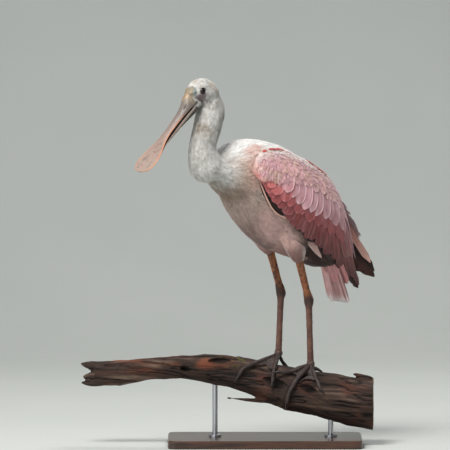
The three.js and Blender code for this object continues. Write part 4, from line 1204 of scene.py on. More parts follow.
def feather_group(name, spines, normals, half, colour, seed, cup=0.8, round_tip=0.16, unwrap=None):
    """A piece of large feathers; colour gives each point's colour from across, along and number."""
    points, faces, place, run, which = vanes(spines, normals, half, cup, seed, round_tip)
    tint = np.clip(colour(place, run, which, points), 0, 1)
    length = np.linalg.norm(np.diff(spines, axis=1), axis=2).sum(1)
    vane = np.stack([place * half[which], run * length[which]], 1) / VANE_MAP_SIZE
    root_uv = body_unwrap(spines[:, 0]) if unwrap is None else unwrap
    bake = patch_uvs(root_uv[which], place, run)
    corners = faces.ravel()
    maps = {"OFBake": bake[corners], "Vane": vane[corners]}
    return make_piece(name, points, faces, QUILL, tint, maps)


def on_line(line, place):
    rows = np.asarray(line, float)
    return np.interp(place, rows[:, 0], rows[:, 1]), np.interp(place, rows[:, 0], rows[:, 2])


# How late a feather turns along the wing
BEND = 1.35


def hung_row(wing, count, roots, tips, rise, steps, seed, loose=1.0):
    """Spines of a row of feathers from a line of roots to a line of tips, with normals, the
    pitch between them and the places of the roots. They turn along the wing on their way."""
    rng = np.random.default_rng(seed)
    k = np.linspace(0, 1, count)
    k = np.sort(np.clip(k + 0.5 * loose / count * (rng.random(count) - 0.5), 0, 1))
    (root_u, root_v), (tip_u, tip_v) = on_line(roots, k), on_line(tips, k)
    reach = 1 - 0.09 * loose * rng.random(count)
    t = np.linspace(0, 1, steps + 1)[None] * reach[:, None]
    u = root_u[:, None] + (tip_u - root_u)[:, None] * t**BEND
    v = root_v[:, None] + (tip_v - root_v)[:, None] * t
    point, out = wing.frame(u, v)
    step = 0.5 * loose * rng.random(count)
    spines = point + out * (rise[0] + (rise[1] - rise[0]) * t + step[:, None])[..., None]
    middle = int(0.6 * steps)
    along = unit(spines[:, middle + 1] - spines[:, middle])
    beside = np.gradient(spines[:, middle], axis=0)
    pitch = np.linalg.norm(beside - (beside * along).sum(1, keepdims=True) * along, axis=1)
    return spines, out, pitch, (root_u, root_v)


def tilt_normals(spines, normals, amount):
    """Turn each vane about its shaft so that one edge goes under its neighbour."""
    along = unit(np.gradient(spines, axis=1))
    across = unit(np.cross(along, normals))
    return unit(normals + across * amount)


def wing_unwrap(wing, u, v):
    """Wings keep their own strip of the map, on the outside of the body's."""
    base = 0.03 if wing.side == LEFT else 0.53
    return np.stack([base + 0.44 * np.clip(u, 0, 1), 0.02 + 0.9 * np.clip(v, 0, 1)], 1)


def rim_fade(place, run, wide, tip):
    """1 along the pale rim of a feather, 0 on its middle."""
    return np.maximum(smooth(np.abs(place), 1 - wide, 1), smooth(run, tip, 1))


def streaks(place, run, which, count=7, long=3):
    """Fine long streaks that differ from feather to feather."""
    cell = np.stack([place * count + which * 3.7, run * long + which * 1.3, which * 0.7], 1)
    return noise(cell, 1.0, 77)


def feather_tint(roots, tips, rim, rim_amount, streak, seed, blotch=None, wide=0.3):
    """Colour of a row: from roots to tips on each feather, a pale rim, streaks and a shaft."""
    def colour(place, run, which, points):
        rng = np.random.default_rng(seed)
        own = 0.9 + 0.16 * rng.random(int(which.max()) + 1)
        made = mix(roots[which], tips[which], smooth(run, 0.3, 0.95)) * own[which][:, None]
        if blotch is not None:
            shade, amount = blotch
            made = mix(made, shade, amount * np.clip(0.35 + 0.9 * layered(points, 9, seed), 0, 1))
        fine = streak * streaks(place, run, which, 10)
        made = mix(made, rim, fine)
        made = mix(made, ROSE, -0.8 * fine)
        shaft = np.exp(-(place / 0.07) ** 2) * (1 - smooth(run, 0.75, 1))
        made = mix(made, ROSE, 0.4 * shaft)
        ragged = 0.75 + 0.5 * streaks(place, run, which, 4, 9)
        return mix(made, rim, rim_amount * rim_fade(place, run, wide, 0.93) * ragged)
    return colour


def blend_along(stops, k):
    """Colours along a row from (place, colour) stops."""
    places = [place for place, _ in stops]
    return np.stack([np.interp(k, places, [colour[i] for _, colour in stops]) for i in range(3)], -1)


# The red line on a wing's upper edge, broken by pale feathers
EDGE_STOPS = [(0, RED_LINE), (0.26, RED_LINE), (0.34, BACK_WHITE), (0.5, BACK_WHITE), (0.56, RED_LINE),
              (0.62, RED_LINE), (0.68, BACK_WHITE), (0.76, CORAL), (0.84, LILAC_PALE), (1, LILAC_PALE)]
# Rows of a wing from the lowest up: feathers, roots and tips as (place, u, v), heights, half width
# as a part of the pitch and its limits, colours of roots and tips along the row, rim and streaks
WING_ROWS = {
    "primaries": dict(
        count=12, roots=[(0, 0.3, 0.04), (0.25, 0.5, 0.05), (1, 0.5, 0.8)],
        tips=[(0, 0.6, -0.03), (0.25, 0.97, 0.04), (0.5, 1.05, 0.3), (0.75, 1.02, 0.6), (1, 0.99, 0.84)],
        rise=(-7.6, -6.4), steps=20, overlap=0.9, half=(6, 9), round_tip=0.07,
        root_colours=[(0, BLACK), (0.3, MAROON), (1, MAROON)],
        tip_colours=[(0, BLACK), (0.5, BROWN), (0.6, BLACK), (1, BLACK)],
        rim=BROWN, rim_amount=0.35, streak=0.15, slot="coral_plumage"),
    "secondaries": dict(
        count=30, roots=[(0, 0.1, 0.36), (0.2, 0.24, 0.44), (0.7, 0.58, 0.44), (0.8, 0.62, 0.54),
                         (1, 0.64, 0.86)],
        tips=[(0, 0.075, 0.0), (0.12, 0.14, -0.02), (0.35, 0.36, -0.03), (0.66, 0.76, -0.02),
              (0.8, 0.94, 0.1), (0.9, 1.0, 0.28), (1, 0.9, 0.8)],
        rise=(-2.8, -1.2), steps=18, overlap=0.85, half=(6, 10), round_tip=0.07,
        root_colours=[(0, CORAL), (0.3, ROSE), (0.7, ROSE), (1, CORAL)],
        tip_colours=[(0, CORAL), (0.14, ROSE), (0.3, DUSK), (0.55, MAROON), (0.8, BROWN), (1, BROWN)],
        rim=ROSE_LILAC, rim_amount=0.22, streak=0.5, slot="coral_plumage"),
    "tertials": dict(
        count=10, roots=[(0, 0.46, 0.62), (1, 0.56, 0.94)],
        tips=[(0, 0.77, 0.17), (0.45, 0.86, 0.4), (0.75, 0.88, 0.62), (1, 0.84, 0.9)],
        rise=(-1.2, 1.4), steps=18, overlap=0.8, half=(7, 11), round_tip=0.14,
        root_colours=[(0, ROSE), (1, ROSE_LILAC)],
        tip_colours=[(0, DUSK), (0.4, ROSE), (0.55, LILAC), (1, ROSE_LILAC)],
        rim=LILAC_PALE, rim_amount=0.4, streak=0.45, slot="coral_plumage", wide=0.16),
    "coverts_1": dict(
        count=16, roots=[(0, 0.08, 0.52), (1, 0.56, 0.62)],
        tips=[(0, 0.09, 0.1), (0.12, 0.14, 0.1), (0.5, 0.36, 0.1), (1, 0.69, 0.23)],
        rise=(-0.2, 1.6), steps=14, overlap=0.8, half=(7.5, 13), round_tip=0.22,
        root_colours=[(0, CORAL), (0.1, ROSE_LILAC), (1, ROSE_LILAC)],
        tip_colours=[(0, CORAL), (0.12, CORAL), (0.3, ROSE), (1, ROSE)],
        rim=ROSE_LILAC, rim_amount=0.4, streak=0.4, slot="pink_plumage", wide=0.16),
    "coverts_2": dict(
        count=13, roots=[(0, 0.14, 0.76), (1, 0.58, 0.78)],
        tips=[(0, 0.15, 0.26), (0.15, 0.21, 0.22), (0.5, 0.36, 0.18), (1, 0.69, 0.36)],
        rise=(0.6, 3.0), steps=14, overlap=0.74, half=(7.5, 13.5), round_tip=0.26,
        root_colours=[(0, LILAC), (1, LILAC)],
        tip_colours=[(0, ROSE_LILAC), (0.5, LILAC), (1, ROSE_LILAC)],
        rim=LILAC_PALE, rim_amount=0.5, streak=0.4, slot="pink_plumage", wide=0.1),
    "coverts_3": dict(
        count=17, roots=[(0, 0.17, 0.86), (1, 0.62, 0.86)],
        tips=[(0, 0.2, 0.52), (0.5, 0.38, 0.46), (1, 0.71, 0.56)],
        rise=(1.0, 3.4), steps=10, overlap=0.8, half=(6, 10), round_tip=0.3, loose=2.0,
        root_colours=[(0, LILAC), (1, LILAC)],
        tip_colours=[(0, LILAC), (1, LILAC)],
        rim=COVERT_BUFF, rim_amount=0.35, streak=0.35, slot="pink_plumage", blotch=(COVERT_BUFF, 0.45)),
    "edge_line": dict(
        count=22, roots=[(0, 0.1, 0.985), (0.5, 0.36, 0.975), (1, 0.7, 0.97)],
        tips=[(0, 0.15, 0.95), (0.5, 0.45, 0.935), (1, 0.8, 0.93)],
        rise=(2.6, 4.4), steps=6, overlap=0.8, half=(1.3, 2.2), round_tip=0.3, loose=5.0,
        root_colours=EDGE_STOPS, tip_colours=EDGE_STOPS,
        rim=CORAL, rim_amount=0.3, streak=0.2, slot="coral_plumage"),
}
# The far wing shows its long inner feathers up to the tip
FAR_ROW = dict(
    count=12, roots=[(0, 0.42, 0.5), (1, 0.6, 0.92)],
    tips=[(0, 0.7, 0.46), (0.6, 0.79, 0.7), (0.85, 0.87, 0.84), (1, 0.98, 0.95)],
    rise=(-9.6, -8.8), steps=18, overlap=1.0, half=(7, 10), round_tip=0.08,
    root_colours=[(0, ROSE), (1, CORAL)], tip_colours=[(0, CORAL), (0.5, FAR_PINK), (1, SHOULDER)],
    rim=SHOULDER, rim_amount=0.4, streak=0.9, slot="coral_plumage")


def dress_row(name, row, r, seed):
    wing = WINGS[name]
    spines, normals, pitch, root = hung_row(wing, r["count"], r["roots"], r["tips"], r["rise"],
                                            r["steps"], seed, r.get("loose", 1.0))
    half = np.clip(r["overlap"] * pitch, *r["half"])
    k = np.linspace(0, 1, r["count"])
    roots, tips = blend_along(r["root_colours"], k), blend_along(r["tip_colours"], k)
    colour = feather_tint(roots, tips, r["rim"], r["rim_amount"], r["streak"], seed + 2,
                          blotch=r.get("blotch"), wide=r.get("wide", 0.3))
    feather_group(f"{name}_{row}", spines, tilt_normals(spines, normals, 0.1), half, colour,
                  seed + 1, round_tip=r["round_tip"], unwrap=wing_unwrap(wing, *root))


# lines and half widths of the dark feathers that paint the shadow in the gap under the wing's front edge
GAP_SHADOW_LINES = (0.04, 0.01, -0.02, -0.045, -0.078)
GAP_SHADOW_HALF = (5.0, 5.0, 5.0, 5.0, 1.2)


def gap_shadow_and_edge(name):
    """Dark feathers as painted shadow in the gap between the wing's front edge and the body, with the body's
    pale edge under it.
    """
    wing = WINGS[name]
    t = np.linspace(0, 1, 15)
    bow = np.sin(math.pi * np.clip(0.06 + t * 0.92, 0, 1)) ** 0.7
    last = len(GAP_SHADOW_LINES) - 1
    spines, normals = [], []
    for k, line in enumerate(GAP_SHADOW_LINES):
        start, reach, sunk = (0.075 + 0.003 * k, 0.2, 5.2 + 0.8 * k) if k < last else (0.053, 0.25, 3.0)
        point, out = wing.frame(start + reach * t, 0.05 + (line - 0.05) * bow)
        spines.append(point - out * sunk)
        normals.append(out)
    # dark sheets painted as the shadow in the gap; the last one is the body's pale edge
    tones = np.array([GAP_SHADOW] * last + [SHOULDER])
    count = len(tones)
    feather_group(f"{name}_hollow", np.array(spines), np.array(normals), np.array(GAP_SHADOW_HALF),
                  feather_tint(tones, tones, BROWN, 0.0, 0.05, 31), 190,
                  unwrap=wing_unwrap(wing, np.full(count, 0.1), np.full(count, 0.02)))


COVERT_BED = 1.2


def small_covert_tint(roots, u, v):
    """Lilac mottled with buff, pale along the upper edge and coral at the wing's front."""
    buff = np.clip(0.35 + 1.2 * layered(roots, 8, 152), 0, 1) * (1 - smooth(u, 0.45, 0.8))
    pale = smooth(v, 0.84, 1.0) * (0.5 + 0.5 * layered(roots, 6, 153))
    pale = np.clip(pale + 0.35 * smooth(layered(roots, 4, 155), 0.2, 0.7), 0, 0.85)
    tone = mix(LILAC, COVERT_BUFF, 0.75 * buff)
    tone = mix(tone, BUFF, 0.5 * smooth(layered(roots, 5, 154), 0.3, 0.8) * (1 - smooth(u, 0.4, 0.7)))
    tone = mix(tone, CORAL, (1 - smooth(u, 0.02, 0.1)) * 0.6 * (1 - smooth(v, 0.45, 0.8)))
    tone = mix(tone, SHOULDER, 0.8 * (1 - smooth(u, 0.0, 0.12)) * smooth(v, 0.4, 0.7))
    return mix(tone, BACK_WHITE, smooth(u, -0.03, 0.1) * pale)


def small_covert_lie(points, normals):
    """Down at the wing's front, backward at its rear."""
    back = smooth(points[:, 0], -40, 150)
    way = np.stack([-0.12 + 0.95 * back, 0 * back, -np.ones_like(back)], 1)
    return way + 0.25 * noise(points, 6, 156)[:, None]


def small_coverts(name):
    """Soft mottled coverts over the upper part of a wing and down its front edge."""
    wing = WINGS[name]
    rows, columns = 64, 44
    u, v = np.meshgrid(np.linspace(-0.05, 1.02, rows), np.linspace(0.05, 1.05, columns), indexing="ij")
    points = wing.at(u, v, COVERT_BED).reshape(-1, 3)
    quads = grid_faces(rows, columns)
    if (point_normals(points, quads)[:, 1] * wing.side).mean() < 0:
        quads = quads[:, ::-1]
    rng = np.random.default_rng(151 + wing.side)
    u, v = np.meshgrid(np.linspace(0, 0.86, 66), np.linspace(0.66, 1.01, 13), indexing="ij")
    front_u, front_v = np.meshgrid(np.linspace(-0.03, 0.36, 32), np.linspace(0.2, 0.68, 15), indexing="ij")
    inside = front_v > 0.22 + 1.15 * front_u
    u, v = np.append(u, front_u[inside]), np.append(v, front_v[inside])
    u = u + 0.012 * (rng.random(len(u)) - 0.5)
    v = v + 0.03 * (rng.random(len(v)) - 0.5)
    roots = wing.at(u, v, COVERT_BED)
    tone = small_covert_tint(roots, u, v)
    coat_piece(f"{name}_small_coverts", Surface(points, quads), roots, small_covert_lie, 13 + 4 * (1 - v),
               2.8 + 1.2 * np.clip(v - 0.6, 0, 1), 3.4, 5, 4, lambda at, normals: tone, 157 + wing.side,
               contrast=0.24, unwrap=wing_unwrap(wing, u, v))


CAD_PARTS = {"coverts_1": "coverts", "secondaries": "secondaries", "primaries": "primaries"}


def dress_wing(name):
    for index, (row, r) in enumerate(WING_ROWS.items()):
        dress_row(name, row, r, 101 + 7 * index)
    if name == "right":
        dress_row(name, "long_inner", FAR_ROW, 171)
    gap_shadow_and_edge(name)
    small_coverts(name)
    for row, part in CAD_PARTS.items():
        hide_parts(f"wing_{name}_{part}")


for wing_name in WINGS:
    dress_wing(wing_name)


# Tail, hanging from the end of the back

TAIL_ROOT = np.array([136.0, 0.0, 341.0])
TAIL_PITCH = math.radians(69)
SIDEWAYS = np.array([0.0, 1.0, 0.0])
TAIL_DOWN = np.array([math.cos(TAIL_PITCH), 0, -math.sin(TAIL_PITCH)])
TAIL_BACK = np.array([math.sin(TAIL_PITCH), 0, math.cos(TAIL_PITCH)])


def tail_point(along, side, back):
    """Points by their place down the tail, to its side and off its back."""
    along, side, back = (np.asarray(a, float)[..., None] for a in np.broadcast_arrays(along, side, back))
    return TAIL_ROOT + TAIL_DOWN * along + SIDEWAYS * side + TAIL_BACK * back


def tail_tint(place, run, which, points):
    """Pale pink with rose streaks, a white end and maroon outer feathers."""
    made = mix(TAIL_PINK, CORAL, 0.4 * (1 - smooth(run, 0.2, 0.7)))
    made = mix(made, ROSE, 0.7 * np.clip(streaks(place, run, which, 8), 0, 1))
    made = mix(made, BACK_WHITE, 0.8 * smooth(run + 0.1 * streaks(place, run, which, 5), 0.82, 1.0))
    outer = np.minimum(which, which.max() - which) < 1
    return mix(made, MAROON, 0.75 * outer * smooth(np.abs(place), 0.1, 0.6) * (1 - smooth(run, 0.9, 1)))


TAIL_PAIRS = 6
TAIL_STEPS = 16
TAIL_LENGTH = 112.5
# Rows of tail coverts: place along the tail, feathers and half width of the row
TAIL_COVERTS = [(-14, 7, 15), (0, 8, 19), (15, 9, 22), (30, 9, 24)]


def dress_tail():
    order = np.arange(-TAIL_PAIRS, TAIL_PAIRS + 1)
    # outer feathers first, so that the middle one lies on top
    order = order[np.argsort(-np.abs(order), kind="stable")]
    t = np.linspace(0, 1, TAIL_STEPS + 1)
    length = TAIL_LENGTH - 0.9 * np.abs(order)
    along = 8 + (length - 8)[:, None] * t[None]
    side = (2.3 + 1.5 * along / 113) * order[:, None]
    spines = tail_point(along, side, 2.4 - 0.42 * np.abs(order)[:, None] - 0.012 * side**2)
    normals = TAIL_BACK + 0.16 * np.sign(order)[:, None, None] * SIDEWAYS + np.zeros_like(spines)
    feather_group("tail_feathers", spines, unit(normals), np.full(len(order), 7.6), tail_tint,
                  201, cup=0.9, round_tip=0.1,
                  unwrap=np.stack([0.97 + 0 * order, 0.3 + 0.02 * order], 1))
    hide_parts("tail")
    for label, face, base, seed in (("over", 1, FLANK, 211), ("under", -1, TAIL_ROSE, 221)):
        rows = []
        for row, (place, count, width) in enumerate(TAIL_COVERTS):
            across = np.linspace(-width, width, count)[:, None]
            run = place + (38.0 + 2 * row) * t[None, ::2]
            lift = (7.2 - 0.065 * np.maximum(run, 0)) * (1 - 0.25 * (across / 26) ** 2) + (3 - row) * 0.5
            rows.append(tail_point(run, across * (1 + 0.1 * t[None, ::2]), face * lift))
        spines = np.concatenate(rows[::-1])
        normals = TAIL_BACK * face + spines[..., 1:2] / 60 * SIDEWAYS
        shade = np.tile(base, (len(spines), 1))
        root_side = (spines[:, 0, 1] + 30) / 60
        feather_group(f"tail_coverts_{label}", spines, unit(normals), np.full(len(spines), 7.0),
                      feather_tint(shade, shade, LILAC_PALE, 0.5, 0.2, seed), seed, cup=1.2,
                      round_tip=0.3, unwrap=np.stack([0.9 + 0 * root_side, 0.2 + 0.5 * root_side], 1))


dress_tail()


PLUME_FEATHERS = 5
PLUME_ROOT = (44.0, 53.0, 358.0)
PLUME_TIP = (86.0, 47.0, 320.0)
PLUME_ASIDE = np.array([0.62, 0.0, 0.7])


def dress_plume(name, side):
    """A few soft long feathers that hang behind a thigh, under the wing."""
    mirror = np.array([1, side, 1])
    lane = np.linspace(-1, 1, PLUME_FEATHERS)
    t = np.linspace(0, 1, 13)
    root, tip = PLUME_ROOT * mirror, PLUME_TIP * mirror
    reach = (1 - 0.18 * np.abs(lane))[:, None, None] * t[None, :, None]
    out = np.array([0.0, 1.0, -0.15]) * mirror
    spines = (root + (tip - root) * reach
              + PLUME_ASIDE * (3.2 * lane[:, None] * (1 - 0.4 * t[None]))[..., None]
              + out * (4.0 * np.sin(math.pi * t))[None, :, None])
    shade = mix(FLANK, BELLY, 0.3 * np.abs(lane))
    tint = feather_tint(shade, shade, LILAC_PALE, 0.3, 0.4, 231)
    feather_group(f"plume_{name}", spines, unit(out + np.zeros_like(spines)), np.full(PLUME_FEATHERS, 3.6),
                  tint, 232, cup=0.8, round_tip=0.4)


dress_plume("left", LEFT)
dress_plume("right", RIGHT)


# Bill: two halves that widen into the spoon, with a groove, nostril slits and a horny nail

BILL_BASE = -4.0
LOWER_WIDTH = 0.93
LIP = 0.15
NOSTRIL_ALONG = 21.0
NOSTRIL_ACROSS = 0.62


def mouth_gap(along):
    """Half of the gap between the bill's halves: closed at the gape and at the spoon."""
    return 1.5 * smooth(along, -5, 14) * (1 - smooth(along, 76, 124))


def settle(along, lower):
    """How far the horn's base sinks under the skin; the lower half also closes up to the upper one."""
    sink = smooth(along, -4, 3) - 1
    shut = (along + 4) * math.sin(MOUTH_OPENING) * smooth(along, 60, 124) * lower
    return sink, shut


def half_of_bill(rows, lower):
    """Columns of one half of the bill: along, half width, height and bend; its slope and side."""
    along, wide, rise, drop, bend = (rows[:, k][:, None] for k in range(5))
    if lower:
        return along, wide * LOWER_WIDTH, drop, bend, BILL_PITCH + MOUTH_OPENING, -1
    return along, wide, rise, bend, BILL_PITCH, 1


def nostril(along, across, length, width, aside=0.0):
    """1 in the slit of a nostril, or beside it."""
    return np.exp(-((along - NOSTRIL_ALONG) / length) ** 4
                  - ((np.abs(across) - NOSTRIL_ACROSS + aside) / width) ** 2)


def bill_section(rows, angle, lower):
    """Outer face of one half: angle 0 is one edge and pi the other."""
    along, wide, high, bend, pitch, turn = half_of_bill(rows, lower)
    across = np.cos(angle)[None]
    up = np.sin(angle)[None]
    # the spoon has a rounded rim and a flatter middle
    spoon = smooth(along, 80, 125)
    up = up * (1 - spoon) + spoon * np.sqrt(np.clip(up, 0, 1)) * (0.82 - 0.22 * up)
    lift = np.zeros_like(across * along)
    if not lower:
        # groove that runs from each nostril along the edge to the nail
        lane = 0.62 + 0.22 * smooth(along, 40, 120)
        groove = np.exp(-((np.abs(across) - lane) / 0.05) ** 2) * smooth(along, 22, 34)
        lift = lift - (0.7 - 0.25 * spoon) * groove * (1 - smooth(along, 146, 153))
        lift = lift - 1.7 * nostril(along, across, 4.2, 0.07)
        lift = lift + 0.35 * nostril(along, across, 5.5, 0.08, aside=0.16)
    place = np.stack(np.broadcast_arrays(along * 0.7, across * wide, up * high * 1.5), -1)
    rough = layered(place, 7, 71) * 0.28 + layered(place, 2.5, 72) * 0.1
    wrinkle = noise(place * np.array([2.2, 0.35, 0.35]), 5, 73) * 0.22 * (1 - smooth(along, 20, 90))
    lift = lift + (rough + wrinkle) * (0.4 + 0.6 * (1 - spoon))
    sink, shut = settle(along, lower)
    return bill_point(along + 0 * across, across * (wide + 0.6 * sink),
                      bend + shut + turn * (mouth_gap(along) + LIP + up * (high + sink) + lift), pitch)


def mouth_section(rows, across, lower):
    """Face of one half towards the mouth, a little hollow, with its lip outside."""
    along, wide, _, bend, pitch, turn = half_of_bill(rows, lower)
    hollow = LIP + 0.9 * np.sqrt(1 - across[None] ** 2) * (1 - smooth(along, 150, 157))
    sink, shut = settle(along, lower)
    return bill_point(along + 0 * across, across[None] * (wide + 0.6 * sink),
                      bend + shut + turn * (mouth_gap(along) + hollow), pitch)


def bill_tint(points, along, across, outside, lower):
    """Grey at the face, pinkish towards the spoon, orange along the edges, dark in the mouth."""
    fleck = layered(points, 6, 81)
    fine = layered(points, 2.5, 82)
    made = mix(BILL_GREY, BILL_PINK, smooth(along, 20, 110) + 0.35 * fleck)
    made = mix(made, BILL_PALE, 0.5 * smooth(along, 95, 150) + 0.15 * fine)
    edge = smooth(np.abs(across), 0.8, 0.98) * smooth(along, 22, 60)
    made = mix(made, BILL_ORANGE, edge * (0.85 + 0.3 * fine))
    made = mix(made, BILL_FLECK, 0.6 * smooth(fleck, 0.05, 0.6) * (1 - edge))
    if lower:
        limit = 0.985 - 0.1 * smooth(along, 5, 60)
        strip = smooth(np.abs(across), limit - 0.03, limit + 0.01)
        made = mix(made, BILL_STRIP, 0.85 * strip)
        # painted shade: the underside of the lower half darker beneath the pale strip near the base
        made = mix(made, FACE_DARK, 0.85 * (1 - strip) * (1 - smooth(along, 30, 90)))
    else:
        made = mix(made, face_tint(points), 0.9 * (1 - smooth(along + 8 * fleck, 6, 28)))
        # painted shade: the nostril slits made black
        made = mix(made, BLACK, 0.85 * nostril(along, across, 4.4, 0.08))
    inside = mix(GULLET, TONGUE, smooth(along, 80, 120))
    return mix(made, inside, 1 - outside)


def horn_material(name, roughness, scale, strength, coat):
    material, tree, shader = new_material(name, roughness, Coat_Weight=coat, Coat_Roughness=0.25,
                                          Subsurface_Weight=0.05, Subsurface_Scale=0.002)
    place, cloud, _ = tint_and_variation(tree, shader, scale, 0.12)
    pits = cell_distance(tree, place, Scale=1400.0)
    bump(tree, shader, math_node(tree, "MULTIPLY_ADD", pits, 0.5, cloud), strength, 0.0005)
    return material


HORN = horn_material("bill_surface", 0.42, 2.5, 0.3, 0.12)
CLAW = horn_material("claw_surface", 0.35, 1.5, 0.2, 0.2)


def dress_bill(lower):
    count, sides, inner = 150, 49, 25
    rows = through(BILL, 400)
    rows = rows[rows[:, 0] >= BILL_BASE]
    pick = np.linspace(0, len(rows) - 1, count)
    rows = np.stack([np.interp(pick, np.arange(len(rows)), rows[:, k]) for k in range(5)], 1)
    angle = np.linspace(0, math.pi, sides)
    across_in = np.linspace(-1, 1, inner + 2)[1:-1]
    ring = np.concatenate([bill_section(rows, angle, lower), mouth_section(rows, across_in, lower)], 1)
    wide = sides + inner
    points = np.vstack([ring.reshape(-1, 3), ring[0].mean(0), ring[-1].mean(0)])
    quads = grid_faces(count, wide, closed=True)
    triangles = np.concatenate([
        halves(quads[:, ::-1] if lower else quads),
        fan(0, wide, count * wide, flip=not lower),
        fan((count - 1) * wide, wide, count * wide + 1, flip=lower),
    ])
    along = np.append(np.repeat(rows[:, 0], wide), [rows[0, 0], rows[-1, 0]])
    across = np.append(np.tile(np.concatenate([np.cos(angle), across_in]), count), [0, 0])
    outside = np.append(np.tile(np.repeat([1.0, 0.0], [sides, inner]), count), [0, 1])
    tint = bill_tint(points, along, across, outside, lower)
    half = "lower" if lower else "upper"
    piece = make_piece(f"bill_{half}_horn", points, triangles, HORN, tint)
    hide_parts(f"bill_{half}")


dress_bill(False)
dress_bill(True)


# Eyes and lids

def ball(centre, radius, rings=32, sides=48, axis=(0.0, 0.0, 1.0)):
    """Points and triangles of a ball whose poles lie on an axis."""
    axis = unit(np.asarray(axis, float))
    side = unit(np.cross(axis, [0.31, 0.2, 0.93]))
    other = np.cross(axis, side)
    theta = np.linspace(0.03, math.pi - 0.03, rings)[:, None]
    phi = np.linspace(0, 2 * math.pi, sides, endpoint=False)[None]
    points = (axis * np.cos(theta)[..., None]
              + side * (np.sin(theta) * np.cos(phi))[..., None]
              + other * (np.sin(theta) * np.sin(phi))[..., None])
    points = np.vstack([points.reshape(-1, 3), axis, -axis]) * radius + centre
    top = rings * sides
    return points, np.concatenate([
        halves(grid_faces(rings, sides, closed=True)),
        fan(0, sides, top, flip=True),
        fan(top - sides, sides, top + 1),
    ])


def eye_material():
    material, tree, shader = new_material("eye_surface", 0.05, 0.35, Coat_Weight=0.3, Coat_Roughness=0.02)
    tint = node(tree, "ShaderNodeAttribute", attribute_name="Tint")
    tree.links.new(tint.outputs["Color"], shader.inputs["Base Color"])
    return material


EYE_FINISH = eye_material()


LID_RADIUS = 6.7
LID_OUT = 16.4
LID_TURN = math.radians(14)
LID_ROWS, LID_SIDES = 72, 16
UPRIGHT = np.array([0.0, 0.0, 1.0])


def dress_eye(name, side):
    """Eyeball with its pupil, and a ring of folded skin round it that is thicker above."""
    centre = np.array([EYE[0], side * EYE[1], EYE[2]])
    look = unit(np.array([-0.25, side, 0.05]))
    points, faces = ball(centre, EYE_RADIUS, axis=look)
    facing = unit(points - centre) @ look
    tint = mix(mix(IRIS_RED, IRIS_DARK, facing < 0.78), PUPIL, smooth(facing, 0.86, 0.89))
    piece = make_piece(f"eye_{name}_ball", points, faces, EYE_FINISH, tint)
    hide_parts(f"eye_{name}")
    out = unit(np.array([-math.sin(LID_TURN), side * math.cos(LID_TURN), 0.05]))
    first = unit(np.cross(out, UPRIGHT))
    second = np.cross(first, out)
    middle = np.array([EYE[0], side * LID_OUT, EYE[2]])
    a = np.linspace(0, 2 * math.pi, LID_ROWS, endpoint=False)
    b = np.linspace(0, 2 * math.pi, LID_SIDES, endpoint=False)
    ring = LID_RADIUS + 0.15 * np.cos(2 * a)
    thick = 0.95 + 0.15 * np.sin(a) + 0.04 * np.sin(9 * a)
    radial = first * np.cos(a)[:, None] + second * np.sin(a)[:, None]
    points = (middle + radial[:, None] * (ring[:, None] + thick[:, None] * np.cos(b)[None])[..., None]
              + out * (thick[:, None] * 0.9 * np.sin(b)[None])[..., None])
    points = points.reshape(-1, 3)
    points += unit(points - middle) * (0.12 * noise(points, 1.6, 91))[:, None]
    faces = grid_faces(LID_ROWS + 1, LID_SIDES, closed=True) % len(points)
    if side == RIGHT:
        faces = faces[:, ::-1]
    tint = mix(LID_PALE, FACE_PURPLE, 0.35 + 0.9 * noise(points, 3, 92) - 0.5 * np.sin(a).repeat(LID_SIDES))
    tint = mix(tint, LID_RIM, 0.9 * (np.linalg.norm(points - middle, axis=1) < EYE_RADIUS))
    make_piece(f"eye_{name}_lids", points, faces, SKIN, tint)


for eye_name, eye_side in (("left", LEFT), ("right", RIGHT)):
    dress_eye(eye_name, eye_side)


# Perch: a weathered trunk along x, its top and bottom heights, half depth and middle y

PERCH = [
    (-290, 142, 103, 15, 2), (-246, 145.5, 101, 19, 1), (-196, 148.5, 111, 20, 0),
    (-144, 153.5, 113, 22, -1), (-102, 155.5, 107, 26, 0), (-63, 153, 98, 29, 1),
    (-25, 145, 84, 32, 2), (34, 135, 58, 35, 0), (80, 125.5, 50, 37, -1),
    (119, 122, 39, 39, 0), (145, 116, 31.5, 40, 1), (185, 110, 24, 42, 2),
]
PERCH_END = 185.0
ROD_PLACES = (-85, 112)
HIGHEST_GRAIN = 1.4
# Splinters and stubs: points with their radius
SPLINTERS = [
    [(-270, 3, 133, 8), (-292, 3, 134, 9), (-305, 2, 137, 6), (-314, 1, 139, 2)],
    [(-270, 1, 118, 10), (-294, 0, 117, 8), (-304, -1, 116, 5), (-310, -2, 115, 2)],
    [(-270, -2, 110, 8), (-290, -3, 107, 7), (-303, -4, 106, 5), (-313, -5, 107, 2)],
    [(40, -14, 72, 9), (8, -16, 75, 5.5), (-28, -17, 78, 4.5), (-66, -18, 81, 1.5)],
    [(184.4, 3.2, 104, 9), (176, 2, 110, 8), (162, 0, 117, 5), (150, -2, 121, 1.8)],
]
# Hollows that face the viewer: centre, half sizes and tilt
CAVITIES = [
    (16, -33, 108, 23, 9, 9, 0.35), (73, -37, 99, 17, 8, 6, 0.4), (-76, -20, 145, 20, 7, 5, 0.0),
    (-136, -20, 131, 7, 6, 3, 0.1),
]


def perch_surface(x, angle, lift=0.0):
    """Points of the trunk: angle 0 is on top and a quarter turn faces the viewer."""
    x, angle, lift = (np.asarray(a, float) for a in np.broadcast_arrays(x, angle, lift))
    table = np.array(PERCH, float)
    top, bottom, deep, y = (np.interp(x, table[:, 0], table[:, k]) for k in (1, 2, 3, 4))
    high = (top - bottom) / 2
    ridge = 0.045 * np.sin(3 * angle + 0.011 * x + 1.1) + 0.03 * np.sin(7 * angle - 0.016 * x)
    size = 1 + ridge * smooth(np.abs(angle), 0, 0.7)
    return np.stack([
        x,
        y - (deep * size + lift) * np.sin(angle),
        (top + bottom) / 2 + (high * size + lift) * np.cos(angle),
    ], -1)


